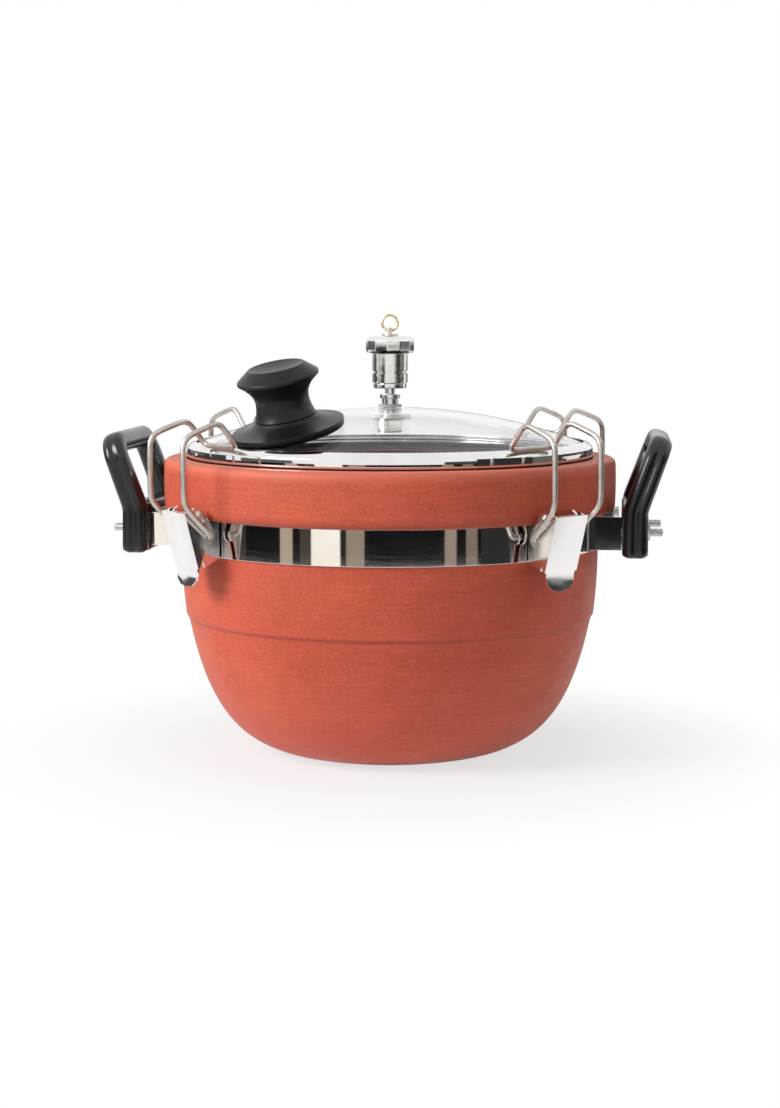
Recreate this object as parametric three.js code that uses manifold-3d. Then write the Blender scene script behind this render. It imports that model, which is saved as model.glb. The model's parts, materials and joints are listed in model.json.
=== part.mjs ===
// Clay pressure cooker: a terracotta pot whose glass lid is held down by four draw clamps.
// Millimetres, +Z up, origin at the middle of the foot, handles along X, front towards -Y.
import * as THREE from 'three';
import { mergeVertices } from 'three/addons/utils/BufferGeometryUtils.js';
import Module from 'manifold-3d';

const wasm = await Module();
wasm.setup();

// Fits shared by all pieces
const SEAT_GAP = 0.3;
const RUN_GAP = 0.3;

// Terracotta pot
const POT_HEIGHT = 175;
const FOOT_RADIUS = 52;
const FOOT_PULL = 42;
const STEP_HEIGHT = 81;
const STEP_INSET = 3.7;
const STEP_LEDGE = 1.2;
const SIDE_PULL = 48;
const SIDE_LEAN = 9.5;
const CLAY_THICKNESS = 9;
const COLLAR_WIDTH = 14;
const COLLAR_OVERHANG = 9.8;
const COLLAR_HEIGHT = 31;
const COLLAR_EDGE = 4.5;
const LEDGE_WIDTH = 8;
const LEDGE_DEPTH = 3;

// Steel band under the collar
const BAND_HEIGHT = 20.5;
const BAND_SHEET = 1.2;

// Lid
const LID_RADIUS = 120;
const RIM_SHEET = 0.8;
const RIM_LIP = 4.5;
const RIM_BEND = 1.6;
const GLASS_THICKNESS = 3.5;
const GLASS_RISE = 22;
const GLASS_INSET = 2;
const GASKET_STAND = 1.8;
const GASKET_WIDTH = 7;
const GASKET_GROOVE = 0.8;

// Steam vent in the middle of the lid
const VENT_THREAD_RADIUS = 3.3;
const VENT_BORE_RADIUS = 1.2;
const VENT_NECK_RADIUS = 4.8;
const VENT_NECK_HEIGHT = 3.4;
const VENT_FLANGE_RADIUS = 6;
const VENT_FLANGE_HEIGHT = 2.4;
const VENT_STEM_RADIUS = 3;
const VENT_STEM_HEIGHT = 8;
const VENT_TAIL = 14;
const UPPER_SEAL_RADIUS = 7;
const UPPER_SEAL_HEIGHT = 1.4;
const LOWER_SEAL_RADIUS = 12.5;
const LOWER_SEAL_HEIGHT = 3;
const VENT_NUT_ACROSS = 14.4;
const VENT_NUT_HEIGHT = 7.5;

// Steam weight on the vent
const WEIGHT_CLEARANCE = 3.6;
const WEIGHT_RADIUS = 10.5;
const WEIGHT_WALL = 3;
const WEIGHT_BODY_HEIGHT = 17;
const WEIGHT_GROOVE_HEIGHT = 5.6;
const WEIGHT_GROOVE_DEPTH = 0.9;
const WEIGHT_GROOVE_WIDTH = 1.4;
const STEAM_HOLES = 4;
const STEAM_HOLE_RADIUS = 1.3;
const STEAM_HOLE_HEIGHT = 2.4;
const BASE_RING_RADIUS = 9.8;
const BASE_RING_HEIGHT = 3;
const CAP_RADIUS = 14.4;
const CAP_SIDES = 12;
const CAP_HEIGHT = 10;
const CAP_CROWN = 2.2;
const SPINDLE_RADIUS = 2;
const SPINDLE_COLLAR_RADIUS = 5;
const SPINDLE_COLLAR_HEIGHT = 1;
const EYE_WIDTH = 3.6;
const EYE_SHEET = 2.4;
const EYE_HEIGHT = 3.8;
const RING_WIRE_RADIUS = 0.75;
const RING_RADIUS = 4.6;

// Lid knob, set on the dome away from the vent
const KNOB_AZIMUTH = -38;
const KNOB_INSET = 37;
const SKIRT_RADIUS = 32.5;
const SKIRT_EDGE = 3;
const SKIRT_SWEEP = 1;
const SKIRT_HEIGHT = 8.5;
const KNOB_FOOT_RADIUS = 17.6;
const KNOB_NECK_RADIUS = 15.3;
const KNOB_CAP_RADIUS = 23.4;
const KNOB_NECK_HEIGHT = 10;
const KNOB_CAP_HEIGHT = 22;
const KNOB_HEIGHT = 29.5;
const KNOB_EDGE = 1.6;
const KNOB_DISH_RADIUS = 16;
const KNOB_DISH_DEPTH = 2.2;
const SCREW_RADIUS = 2.5;
const SCREW_ENGAGEMENT = 14;
const SCREW_HEAD_RADIUS = 5;
const SCREW_HEAD_HEIGHT = 3;
const SCREW_HEAD_CHAMFER = 1;
const KNOB_WASHER_RADIUS = 8;
const KNOB_WASHER_HEIGHT = 1.4;

// Side handles on their steel brackets
const HANDLE_STANDOFF = 3.7;
const BRACKET_SHEET = 1.7;
const BRACKET_HALF_WIDTH = 34;
const BRACKET_FOOT = 12;
const BRACKET_INSET = 0.6;
const HANDLE_WIDTH = 99;
const HANDLE_DEPTH = 15;
const HANDLE_DROP = 13;
const HANDLE_ELBOW_RISE = 13.5;
const HANDLE_RISE = 56.5;
const HANDLE_LEAN = 20;
const HANDLE_BEVEL = 3;
const HANDLE_CORNER = 15;
const HANDLE_FOOT_CORNER = 5;
const LEG_WIDTH = 14;
const TOP_BAR = 11;
const PLATE_RISE = 2;
const WINDOW_CORNER = 7;
const LEG_GROOVE = 2.4;
const LEG_GROOVE_DEPTH = 1;
const NUT_RECESS = 3;
const BOLT_SPACING = 52;
const BOLT_RADIUS = 2.5;
const BOLT_LENGTH = 26;
const BOLT_HEAD_RADIUS = 4.6;
const BOLT_HEAD_HEIGHT = 2.6;
const NUT_ACROSS = 9;
const NUT_HEIGHT = 4;

// Draw clamps
const CLAMP_AZIMUTH = 47.5;
const RIVET_STANDOFF = 6.5;
const RIVET_RISE = 3.2;
const RIVET_RADIUS = 2.2;
const RIVET_HEAD_RADIUS = 4;
const RIVET_HEAD_HEIGHT = 1.3;
const BASE_SHEET = 1.5;
const EAR_SPAN = 19.4;
const EAR_ROUND = 5.2;
const EAR_REACH = 9.5;
const EAR_DROP = 4.5;
const EAR_NOTCH = 1.5;
const EAR_ARC_START = -20;
const EAR_ARC_END = 170;
const LEVER_WIDTH = 25;
const LEVER_SHEET = 1.2;
const LEVER_LEAN = 15;
const LEVER_OFFSET = 8.6;
const LEVER_ABOVE = 5;
const LEVER_BELOW = 27.5;
const KNUCKLE_RADIUS = 4.6;
const TONGUE_WIDTH = 22;
const TONGUE_STRAIGHT = 2;
const TONGUE_LENGTH = 11;
const TONGUE_FLARE = 22;
const WIRE_RADIUS = 1.6;
const WIRE_HOLE_BACK = 3;
const WIRE_HOLE_DROP = 12.2;
const WIRE_HOLE_MARGIN = 2.3;
const CHEEK_ARC_START = 165;
const CHEEK_ARC_END = 300;
const WIRE_STANDOFF = 20;
const WIRE_SPAN = 36;
const WIRE_WAIST = 30.4;
const WIRE_END_SPAN = 20.4;
const WIRE_ELBOW_RISE = 18.8;
const WIRE_SHOULDER_RISE = 7;
const WIRE_ARCH_RISE = 15;
const WIRE_ARCH_REACH = 12;
const CROSSBAR_SPAN = 34;
const CROSSBAR_INSET = 2;
const WIRE_END_BEND = 2.4;
const WIRE_ELBOW_BEND = 6;
const WIRE_SHOULDER_BEND = 7;
const WIRE_ARCH_BEND = 5;
const CROSSBAR_BEND = 4.5;

// Facets
const POT_SIDES = 48;
const LID_SIDES = 40;
const KNOB_SIDES = 20;
const SMALL_SIDES = 12;
const WIRE_SIDES = 6;
const HEX_SIDES = 6;
const POT_STEPS = 6;
const CURVE_STEPS = 4;
const DOME_STEPS = 6;
const ARC_STEPS = 3;
const BEND_STEPS = 3;
const BEVEL_STEPS = 2;
const MERGE_DISTANCE = 1e-4;
const CUT_MARGIN = 2;

// Places worked out from the sizes above
const collarRadius = LID_RADIUS + COLLAR_WIDTH;
const wallRadius = collarRadius - COLLAR_OVERHANG;
const stepRadius = wallRadius - STEP_INSET;
const mouthRadius = LID_RADIUS - LEDGE_WIDTH;
const collarBottom = POT_HEIGHT - COLLAR_HEIGHT;
const bandTop = collarBottom - SEAT_GAP;
const bandBottom = bandTop - BAND_HEIGHT;
const bandInner = wallRadius + SEAT_GAP;
const bandOuter = bandInner + BAND_SHEET;
const ledgeRadius = LID_RADIUS + 2 * SEAT_GAP;
const ledgeZ = POT_HEIGHT - LEDGE_DEPTH;
const gasketTop = POT_HEIGHT + GASKET_STAND;
const rimBottom = gasketTop + SEAT_GAP;
const glassEdgeRadius = LID_RADIUS - GLASS_INSET;
const glassRadius = (glassEdgeRadius ** 2 + GLASS_RISE ** 2) / (2 * GLASS_RISE);
const glassInnerRadius = glassRadius - GLASS_THICKNESS;
const glassInnerDrop = glassRadius - Math.sqrt(glassInnerRadius ** 2 - glassEdgeRadius ** 2);
const glassTop = rimBottom + RIM_SHEET + SEAT_GAP + glassInnerDrop;
const glassCentre = glassTop - glassRadius;
const rimTop = glassTop - GLASS_RISE + SEAT_GAP + RIM_SHEET;
const knobOffset = LID_RADIUS - KNOB_INSET;
const rivetX = collarRadius + RIVET_STANDOFF;
const rivetZ = collarBottom + RIVET_RISE;
const bracketFront = collarRadius + HANDLE_STANDOFF;
const handleInner = bracketFront + SEAT_GAP;
const boltZ = (bandTop + bandBottom) / 2;
const handleBottom = boltZ - HANDLE_DROP;
const handleElbow = boltZ + HANDLE_ELBOW_RISE;
const handleTop = boltZ + HANDLE_RISE;

const radians = THREE.MathUtils.degToRad;
const at = (x, y) => new THREE.Vector2(x, y);

// Finishes, one new material for each piece
const FINISHES = {
  clay: { color: 0xb4563f, roughness: 0.9, metalness: 0 },
  polished_steel: { color: 0xd4d6d8, roughness: 0.12, metalness: 1 },
  satin_steel: { color: 0xb9bab8, roughness: 0.32, metalness: 1 },
  brass: { color: 0xc8a35a, roughness: 0.3, metalness: 1 },
  black_plastic: { color: 0x17171a, roughness: 0.35, metalness: 0 },
  black_rubber: { color: 0x1d1c1b, roughness: 0.7, metalness: 0 },
  clear_seal: { color: 0xdcdedd, roughness: 0.45, metalness: 0 },
  glass: { color: 0xe8efee, roughness: 0.05, metalness: 0, transparent: true, opacity: 0.3 },
};

const cooker = new THREE.Group();

function place(parent, name, finish, geometry) {
  const mesh = new THREE.Mesh(outward(geometry), new THREE.MeshStandardMaterial(FINISHES[finish]));
  mesh.name = name;
  parent.add(mesh);
  return mesh;
}

// Welds shared corners, drops empty triangles and turns the faces outwards
function outward(geometry) {
  const bare = geometry.clone();
  bare.deleteAttribute('normal');
  bare.deleteAttribute('uv');
  const welded = mergeVertices(bare, MERGE_DISTANCE);
  const corner = welded.attributes.position;
  const [a, b, c] = [new THREE.Vector3(), new THREE.Vector3(), new THREE.Vector3()];
  const kept = [];
  let volume = 0;
  for (let i = 0; i < welded.index.count; i += 3) {
    const [p, q, r] = [0, 1, 2].map((k) => welded.index.getX(i + k));
    if (p === q || q === r || r === p) continue;
    kept.push(p, q, r);
    a.fromBufferAttribute(corner, p);
    b.fromBufferAttribute(corner, q);
    c.fromBufferAttribute(corner, r);
    volume += a.dot(b.cross(c));
  }
  welded.setIndex(volume < 0 ? kept.reverse() : kept);
  welded.computeVertexNormals();
  return welded;
}

function toSolid(geometry) {
  const closed = outward(geometry);
  return new wasm.Manifold(new wasm.Mesh({
    numProp: 3,
    vertProperties: new Float32Array(closed.attributes.position.array),
    triVerts: new Uint32Array(closed.index.array),
  }));
}

function toGeometry(solid) {
  const mesh = solid.getMesh();
  const geometry = new THREE.BufferGeometry();
  const corners = new Float32Array(mesh.vertProperties);
  geometry.setAttribute('position', new THREE.BufferAttribute(corners, 3));
  geometry.setIndex(new THREE.BufferAttribute(new Uint32Array(mesh.triVerts), 1));
  return geometry;
}

const cut = (base, ...tools) =>
  toGeometry(tools.reduce((s, t) => s.subtract(toSolid(t)), toSolid(base)));
const join = (...pieces) => toGeometry(pieces.map(toSolid).reduce((s, t) => s.add(t)));
const overlap = (one, other) => toGeometry(toSolid(one).intersect(toSolid(other)));

// Turns a profile of radius and height round the Z axis
function revolve(profile, sides) {
  return new THREE.LatheGeometry(profile, sides).rotateX(Math.PI / 2);
}

const closeRing = (profile) => [...profile, profile[0].clone()];

// An outline in plan, pushed up along Z
function planPrism(shape, height) {
  return new THREE.ExtrudeGeometry(shape, { depth: height, bevelEnabled: false });
}

// An outline seen from the side, in X and Z, centred across Y
function sidePrism(shape, width, bevel = 0) {
  const geometry = new THREE.ExtrudeGeometry(shape, {
    depth: width - 2 * bevel,
    bevelEnabled: bevel > 0,
    bevelThickness: bevel,
    bevelSize: bevel,
    bevelOffset: -bevel,
    bevelSegments: BEVEL_STEPS,
    curveSegments: ARC_STEPS,
  });
  return geometry.translate(0, 0, bevel - width / 2).rotateX(Math.PI / 2);
}

// An outline seen from the front, in Y and Z, pushed out along X
function frontPrism(shape, depth) {
  const geometry = new THREE.ExtrudeGeometry(shape, {
    depth,
    bevelEnabled: false,
    curveSegments: ARC_STEPS,
  });
  return geometry.rotateX(Math.PI / 2).rotateZ(Math.PI / 2);
}

const rodX = (radius, length, sides = SMALL_SIDES) =>
  new THREE.CylinderGeometry(radius, radius, length, sides).rotateZ(Math.PI / 2);
const rodY = (radius, length, sides = SMALL_SIDES) =>
  new THREE.CylinderGeometry(radius, radius, length, sides);
const rodZ = (radius, length, sides = SMALL_SIDES) =>
  new THREE.CylinderGeometry(radius, radius, length, sides).rotateX(Math.PI / 2);

// A box with four rounded corners, given by its low and high corner
function roundedBox(left, low, right, high, lowCorner, highCorner) {
  const shape = new THREE.Shape();
  shape.moveTo(left + lowCorner, low);
  shape.lineTo(right - lowCorner, low);
  shape.quadraticCurveTo(right, low, right, low + lowCorner);
  shape.lineTo(right, high - highCorner);
  shape.quadraticCurveTo(right, high, right - highCorner, high);
  shape.lineTo(left + highCorner, high);
  shape.quadraticCurveTo(left, high, left, high - highCorner);
  shape.lineTo(left, low + lowCorner);
  shape.quadraticCurveTo(left, low, left + lowCorner, low);
  return shape;
}

// The outline of a bent strip of even thickness round a line of points
function stripOutline(line, thickness) {
  const last = line.length - 1;
  const turned = (p, q) => at(p.y - q.y, q.x - p.x).normalize();
  const side = (sign) => line.map((point, i) => {
    const before = turned(line[Math.max(i - 1, 0)], line[Math.max(i, 1)]);
    const after = turned(line[Math.min(i, last - 1)], line[Math.min(i + 1, last)]);
    const mitre = before.clone().add(after).normalize();
    return point.clone().addScaledVector(mitre, sign * thickness / 2 / mitre.dot(before));
  });
  return [...side(1), ...side(-1).reverse()];
}

// A rod path through given samples, one step for each sample
class BentRod extends THREE.Curve {
  constructor(samples) {
    super();
    this.samples = samples;
  }

  getUtoTmapping(u) {
    return u;
  }

  getPoint(t, target = new THREE.Vector3()) {
    return target.copy(this.samples[Math.round(t * (this.samples.length - 1))]);
  }

  getTangent(t, target = new THREE.Vector3()) {
    const last = this.samples.length - 1;
    const i = Math.round(t * last);
    const run = (k) => this.samples[k + 1].clone().sub(this.samples[k]).normalize();
    return target.copy(run(Math.max(i - 1, 0))).add(run(Math.min(i, last - 1))).normalize();
  }
}

// Samples along straight runs joined by bends of the given sizes
function bendSamples(corners, bends) {
  const samples = [corners[0]];
  for (let i = 1; i < corners.length - 1; i += 1) {
    const towards = (other) =>
      corners[i].clone().addScaledVector(other.clone().sub(corners[i]).normalize(), bends[i - 1]);
    const [start, end] = [towards(corners[i - 1]), towards(corners[i + 1])];
    const bend = new THREE.QuadraticBezierCurve3(start, corners[i], end);
    samples.push(...bend.getPoints(BEND_STEPS));
  }
  return [...samples, corners[corners.length - 1]];
}

function rod(samples, radius, sides) {
  const section = new THREE.Shape();
  for (let i = 0; i < sides; i += 1) {
    const turn = (2 * Math.PI * i) / sides;
    const corner = at(radius * Math.cos(turn), radius * Math.sin(turn));
    if (i === 0) section.moveTo(corner.x, corner.y);
    else section.lineTo(corner.x, corner.y);
  }
  return new THREE.ExtrudeGeometry(section, {
    steps: samples.length - 1,
    extrudePath: new BentRod(samples),
  });
}

// Terracotta pot with a thick collar and a ledge for the lid's gasket
function potProfile() {
  const floor = FOOT_RADIUS - CLAY_THICKNESS;
  const inside = stepRadius - CLAY_THICKNESS;
  const path = new THREE.Path();
  path.moveTo(0, 0);
  path.lineTo(FOOT_RADIUS, 0);
  path.bezierCurveTo(
    FOOT_RADIUS + FOOT_PULL, 0,
    stepRadius - SIDE_LEAN, STEP_HEIGHT - SIDE_PULL,
    stepRadius, STEP_HEIGHT,
  );
  path.lineTo(stepRadius + STEP_LEDGE, STEP_HEIGHT + STEP_LEDGE);
  path.quadraticCurveTo(wallRadius, (STEP_HEIGHT + bandBottom) / 2, wallRadius, bandBottom);
  path.lineTo(wallRadius, collarBottom);
  path.lineTo(collarRadius - COLLAR_EDGE, collarBottom);
  path.quadraticCurveTo(collarRadius, collarBottom, collarRadius, collarBottom + COLLAR_EDGE);
  path.lineTo(collarRadius, POT_HEIGHT - COLLAR_EDGE);
  path.quadraticCurveTo(collarRadius, POT_HEIGHT, collarRadius - COLLAR_EDGE, POT_HEIGHT);
  path.lineTo(ledgeRadius, POT_HEIGHT);
  path.lineTo(ledgeRadius, ledgeZ);
  path.lineTo(mouthRadius, ledgeZ);
  path.lineTo(inside, STEP_HEIGHT);
  path.bezierCurveTo(
    inside - SIDE_LEAN, STEP_HEIGHT - SIDE_PULL,
    floor + FOOT_PULL, CLAY_THICKNESS,
    floor, CLAY_THICKNESS,
  );
  path.lineTo(0, CLAY_THICKNESS);
  return path.getPoints(POT_STEPS);
}

function addPot() {
  place(cooker, 'clay_pot', 'clay', revolve(potProfile(), POT_SIDES));
  const band = [
    at(bandInner, bandBottom),
    at(bandOuter, bandBottom),
    at(bandOuter, bandTop),
    at(bandInner, bandTop),
  ];
  place(cooker, 'clamp_band', 'polished_steel', revolve(closeRing(band), POT_SIDES));
}

// Domed glass between sphere surfaces, with holes for the vent and the knob's screw
function glassProfile() {
  const outerAngle = Math.asin(glassEdgeRadius / glassRadius);
  const innerAngle = Math.asin(glassEdgeRadius / glassInnerRadius);
  const arc = (radius, angle) => at(radius * Math.sin(angle), glassCentre + radius * Math.cos(angle));
  const share = (k) => k / DOME_STEPS;
  const steps = [...Array(DOME_STEPS + 1).keys()];
  const inner = steps.map((k) => arc(glassInnerRadius, innerAngle * share(k)));
  const outer = steps.map((k) => arc(glassRadius, outerAngle * (1 - share(k))));
  return [...inner, ...outer];
}

// Room for a flat disc of the given radius under the faceted dome
const domeFall = (radius) => radius ** 2 / glassInnerRadius;

// The frame of the knob: Z along the dome's normal, zero on the glass
function onDome(geometry) {
  const tilt = Math.asin(knobOffset / glassRadius);
  return geometry
    .translate(0, 0, glassRadius)
    .rotateY(tilt)
    .rotateZ(radians(KNOB_AZIMUTH - 90))
    .translate(0, 0, glassCentre);
}

function addLid() {
  const ventHole = rodZ(VENT_THREAD_RADIUS + RUN_GAP, 2 * GLASS_RISE).translate(0, 0, glassTop);
  const screwHole = onDome(rodZ(SCREW_RADIUS + RUN_GAP, 2 * GLASS_RISE));
  place(cooker, 'lid_glass', 'glass', cut(revolve(glassProfile(), LID_SIDES), ventHole, screwHole));

  const outer = LID_RADIUS - RIM_SHEET / 2;
  const low = rimBottom + RIM_SHEET / 2;
  const high = rimTop - RIM_SHEET / 2;
  const lipLift = RIM_LIP * glassEdgeRadius / glassRadius;
  const line = [
    at(outer - RIM_LIP, high + lipLift),
    at(outer - RIM_BEND, high),
    at(outer, high - RIM_BEND),
    at(outer, low + RIM_BEND),
    at(outer - RIM_BEND, low),
    at(outer - RIM_LIP, low),
  ];
  const rim = closeRing(stripOutline(line, RIM_SHEET));
  place(cooker, 'lid_rim', 'polished_steel', revolve(rim, LID_SIDES));

  const inner = LID_RADIUS - GASKET_WIDTH;
  const groove = (ledgeZ + gasketTop) / 2;
  const gasket = [
    at(inner, ledgeZ + SEAT_GAP),
    at(LID_RADIUS, ledgeZ + SEAT_GAP),
    at(LID_RADIUS - GASKET_GROOVE, groove),
    at(LID_RADIUS, gasketTop),
    at(inner, gasketTop),
    at(inner + GASKET_GROOVE, groove),
  ];
  place(cooker, 'lid_gasket', 'black_rubber', revolve(closeRing(gasket), LID_SIDES));
}

// A hexagon nut round a hole, its axis along Z and its foot at zero
function hexNut(across, height, hole) {
  const nut = rodZ(across / Math.sqrt(3), height, HEX_SIDES);
  return cut(nut, rodZ(hole, height + CUT_MARGIN)).translate(0, 0, height / 2);
}

// A flat ring with its axis along Z and its foot at zero
function washer(radius, hole, height) {
  const section = [at(hole, 0), at(radius, 0), at(radius, height), at(hole, height)];
  return revolve(closeRing(section), KNOB_SIDES);
}

function addVent() {
  const hole = VENT_THREAD_RADIUS + RUN_GAP;
  const glassBottom = glassTop - GLASS_THICKNESS;
  const sealFoot = glassTop + SEAT_GAP;
  const upperSeal = washer(UPPER_SEAL_RADIUS, hole, UPPER_SEAL_HEIGHT);
  place(cooker, 'vent_upper_seal', 'clear_seal', upperSeal.translate(0, 0, sealFoot));
  const lowerFoot = glassBottom - SEAT_GAP - domeFall(LOWER_SEAL_RADIUS) - LOWER_SEAL_HEIGHT;
  const lowerSeal = washer(LOWER_SEAL_RADIUS, hole, LOWER_SEAL_HEIGHT);
  place(cooker, 'vent_lower_seal', 'clear_seal', lowerSeal.translate(0, 0, lowerFoot));
  const nutFoot = lowerFoot - SEAT_GAP - VENT_NUT_HEIGHT;
  const nut = hexNut(VENT_NUT_ACROSS, VENT_NUT_HEIGHT, hole).translate(0, 0, nutFoot);
  place(cooker, 'vent_nut', 'polished_steel', nut);

  const shoulder = sealFoot + UPPER_SEAL_HEIGHT + SEAT_GAP;
  const flange = shoulder + VENT_NECK_HEIGHT;
  const stem = flange + VENT_FLANGE_HEIGHT;
  const tip = stem + VENT_STEM_HEIGHT;
  const tail = glassTop - VENT_TAIL;
  const pipe = [
    at(VENT_BORE_RADIUS, tail),
    at(VENT_THREAD_RADIUS, tail),
    at(VENT_THREAD_RADIUS, shoulder),
    at(VENT_NECK_RADIUS, shoulder),
    at(VENT_NECK_RADIUS, flange),
    at(VENT_FLANGE_RADIUS, flange),
    at(VENT_FLANGE_RADIUS, stem),
    at(VENT_STEM_RADIUS, stem),
    at(VENT_STEM_RADIUS, tip),
    at(VENT_BORE_RADIUS, tip),
  ];
  place(cooker, 'vent_pipe', 'polished_steel', revolve(closeRing(pipe), SMALL_SIDES));
  return { stem, tip };
}

// Hollow steam weight whose spindle closes the vent, with a lift ring in its eye
function addWeight(vent) {
  const ringFoot = vent.stem + WEIGHT_CLEARANCE;
  const bodyFoot = ringFoot + BASE_RING_HEIGHT + SEAT_GAP;
  const bodyTop = bodyFoot + WEIGHT_BODY_HEIGHT;
  const inner = WEIGHT_RADIUS - WEIGHT_WALL;
  const passage = VENT_STEM_RADIUS + 2 * RUN_GAP;
  const base = washer(BASE_RING_RADIUS, passage, BASE_RING_HEIGHT);
  place(cooker, 'weight_base_ring', 'polished_steel', base.translate(0, 0, ringFoot));

  const waist = WEIGHT_RADIUS - WEIGHT_GROOVE_DEPTH;
  const grooveLow = bodyFoot + WEIGHT_GROOVE_HEIGHT;
  const grooveHigh = grooveLow + WEIGHT_GROOVE_WIDTH;
  const tube = [
    at(inner, bodyFoot),
    at(WEIGHT_RADIUS, bodyFoot),
    at(WEIGHT_RADIUS, grooveLow),
    at(waist, grooveLow),
    at(waist, grooveHigh),
    at(WEIGHT_RADIUS, grooveHigh),
    at(WEIGHT_RADIUS, bodyTop),
    at(inner, bodyTop),
  ];
  const turns = [...Array(STEAM_HOLES).keys()];
  const holes = turns.map((k) => rodX(STEAM_HOLE_RADIUS, WEIGHT_RADIUS, WIRE_SIDES)
    .translate(WEIGHT_RADIUS, 0, bodyFoot + STEAM_HOLE_HEIGHT)
    .rotateZ((2 * Math.PI * (k + 0.5)) / STEAM_HOLES));
  const body = cut(revolve(closeRing(tube), KNOB_SIDES), ...holes);
  place(cooker, 'weight_body', 'polished_steel', body);

  const capFoot = bodyTop + SEAT_GAP;
  const capTop = capFoot + CAP_HEIGHT;
  const spindleHole = SPINDLE_RADIUS + RUN_GAP;
  const crown = [
    at(spindleHole, capFoot),
    at(CAP_RADIUS - CAP_CROWN / 2, capFoot),
    at(CAP_RADIUS, capFoot + CAP_CROWN),
    at(CAP_RADIUS, capTop - CAP_CROWN),
    at(CAP_RADIUS - CAP_CROWN, capTop),
    at(spindleHole, capTop),
  ];
  place(cooker, 'weight_cap', 'polished_steel', revolve(closeRing(crown), CAP_SIDES));

  const collarFoot = capTop + SEAT_GAP;
  const eyeFoot = collarFoot + SPINDLE_COLLAR_HEIGHT;
  const needle = [
    at(0, vent.tip + SEAT_GAP),
    at(SPINDLE_RADIUS, vent.tip + SEAT_GAP + SPINDLE_RADIUS),
    at(SPINDLE_RADIUS, collarFoot),
    at(SPINDLE_COLLAR_RADIUS, collarFoot),
    at(SPINDLE_COLLAR_RADIUS, eyeFoot),
    at(0, eyeFoot),
  ];
  const eyeZ = eyeFoot + EYE_HEIGHT - EYE_WIDTH / 2;
  const tab = new THREE.BoxGeometry(EYE_SHEET, EYE_WIDTH, EYE_HEIGHT)
    .translate(0, 0, eyeFoot + EYE_HEIGHT / 2);
  const eyeHole = rodX(RING_WIRE_RADIUS + RUN_GAP, EYE_SHEET + CUT_MARGIN).translate(0, 0, eyeZ);
  const spindle = cut(join(revolve(needle, SMALL_SIDES), tab), eyeHole);
  place(cooker, 'weight_spindle', 'satin_steel', spindle);

  const ring = new THREE.TorusGeometry(RING_RADIUS, RING_WIRE_RADIUS, WIRE_SIDES, KNOB_SIDES);
  place(cooker, 'lift_ring', 'brass', ring.rotateX(Math.PI / 2).translate(0, 0, eyeZ + RING_RADIUS));
}

// Two-piece black knob, held by a screw from under the glass
function addKnob() {
  const hole = SCREW_RADIUS + RUN_GAP;
  const hug = (radius) => Math.sqrt((glassRadius + SEAT_GAP) ** 2 - radius ** 2) - glassRadius;
  const skirt = new THREE.Path();
  skirt.moveTo(hole, hug(hole));
  skirt.lineTo(SKIRT_RADIUS / 2, hug(SKIRT_RADIUS / 2));
  skirt.lineTo(SKIRT_RADIUS - SKIRT_EDGE / 2, hug(SKIRT_RADIUS));
  skirt.quadraticCurveTo(SKIRT_RADIUS, hug(SKIRT_RADIUS), SKIRT_RADIUS, SKIRT_EDGE);
  const sweep = SKIRT_EDGE + SKIRT_SWEEP;
  skirt.quadraticCurveTo(KNOB_FOOT_RADIUS + SKIRT_EDGE, sweep, KNOB_FOOT_RADIUS, SKIRT_HEIGHT);
  skirt.lineTo(hole, SKIRT_HEIGHT);
  const skirtRing = revolve(closeRing(skirt.getPoints(CURVE_STEPS)), KNOB_SIDES);
  place(cooker, 'knob_skirt', 'black_plastic', onDome(skirtRing));

  const foot = SKIRT_HEIGHT + SEAT_GAP;
  const bore = foot + SCREW_ENGAGEMENT;
  const neck = foot + KNOB_NECK_HEIGHT;
  const widest = foot + KNOB_CAP_HEIGHT;
  const top = foot + KNOB_HEIGHT;
  const grip = new THREE.Path();
  grip.moveTo(0, bore);
  grip.lineTo(hole, bore);
  grip.lineTo(hole, foot);
  grip.lineTo(KNOB_FOOT_RADIUS, foot);
  grip.quadraticCurveTo(KNOB_NECK_RADIUS, (foot + neck) / 2, KNOB_NECK_RADIUS, neck);
  grip.quadraticCurveTo(KNOB_NECK_RADIUS, (neck + widest) / 2, KNOB_CAP_RADIUS, widest);
  grip.lineTo(KNOB_CAP_RADIUS, widest + KNOB_EDGE);
  grip.lineTo(KNOB_DISH_RADIUS, top);
  grip.quadraticCurveTo(KNOB_DISH_RADIUS / 2, top - KNOB_DISH_DEPTH, 0, top - KNOB_DISH_DEPTH);
  place(cooker, 'knob_grip', 'black_plastic', onDome(revolve(grip.getPoints(CURVE_STEPS), KNOB_SIDES)));

  const under = -GLASS_THICKNESS - SEAT_GAP - domeFall(KNOB_WASHER_RADIUS);
  const disc = washer(KNOB_WASHER_RADIUS, hole, KNOB_WASHER_HEIGHT)
    .translate(0, 0, under - KNOB_WASHER_HEIGHT);
  place(cooker, 'knob_washer', 'clear_seal', onDome(disc));
  const headTop = under - KNOB_WASHER_HEIGHT - SEAT_GAP;
  const screw = [
    at(0, headTop - SCREW_HEAD_HEIGHT),
    at(SCREW_HEAD_RADIUS - SCREW_HEAD_CHAMFER, headTop - SCREW_HEAD_HEIGHT),
    at(SCREW_HEAD_RADIUS, headTop),
    at(SCREW_RADIUS, headTop),
    at(SCREW_RADIUS, bore - SEAT_GAP),
    at(0, bore - SEAT_GAP),
  ];
  place(cooker, 'knob_screw', 'satin_steel', onDome(revolve(screw, SMALL_SIDES)));
}

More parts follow.
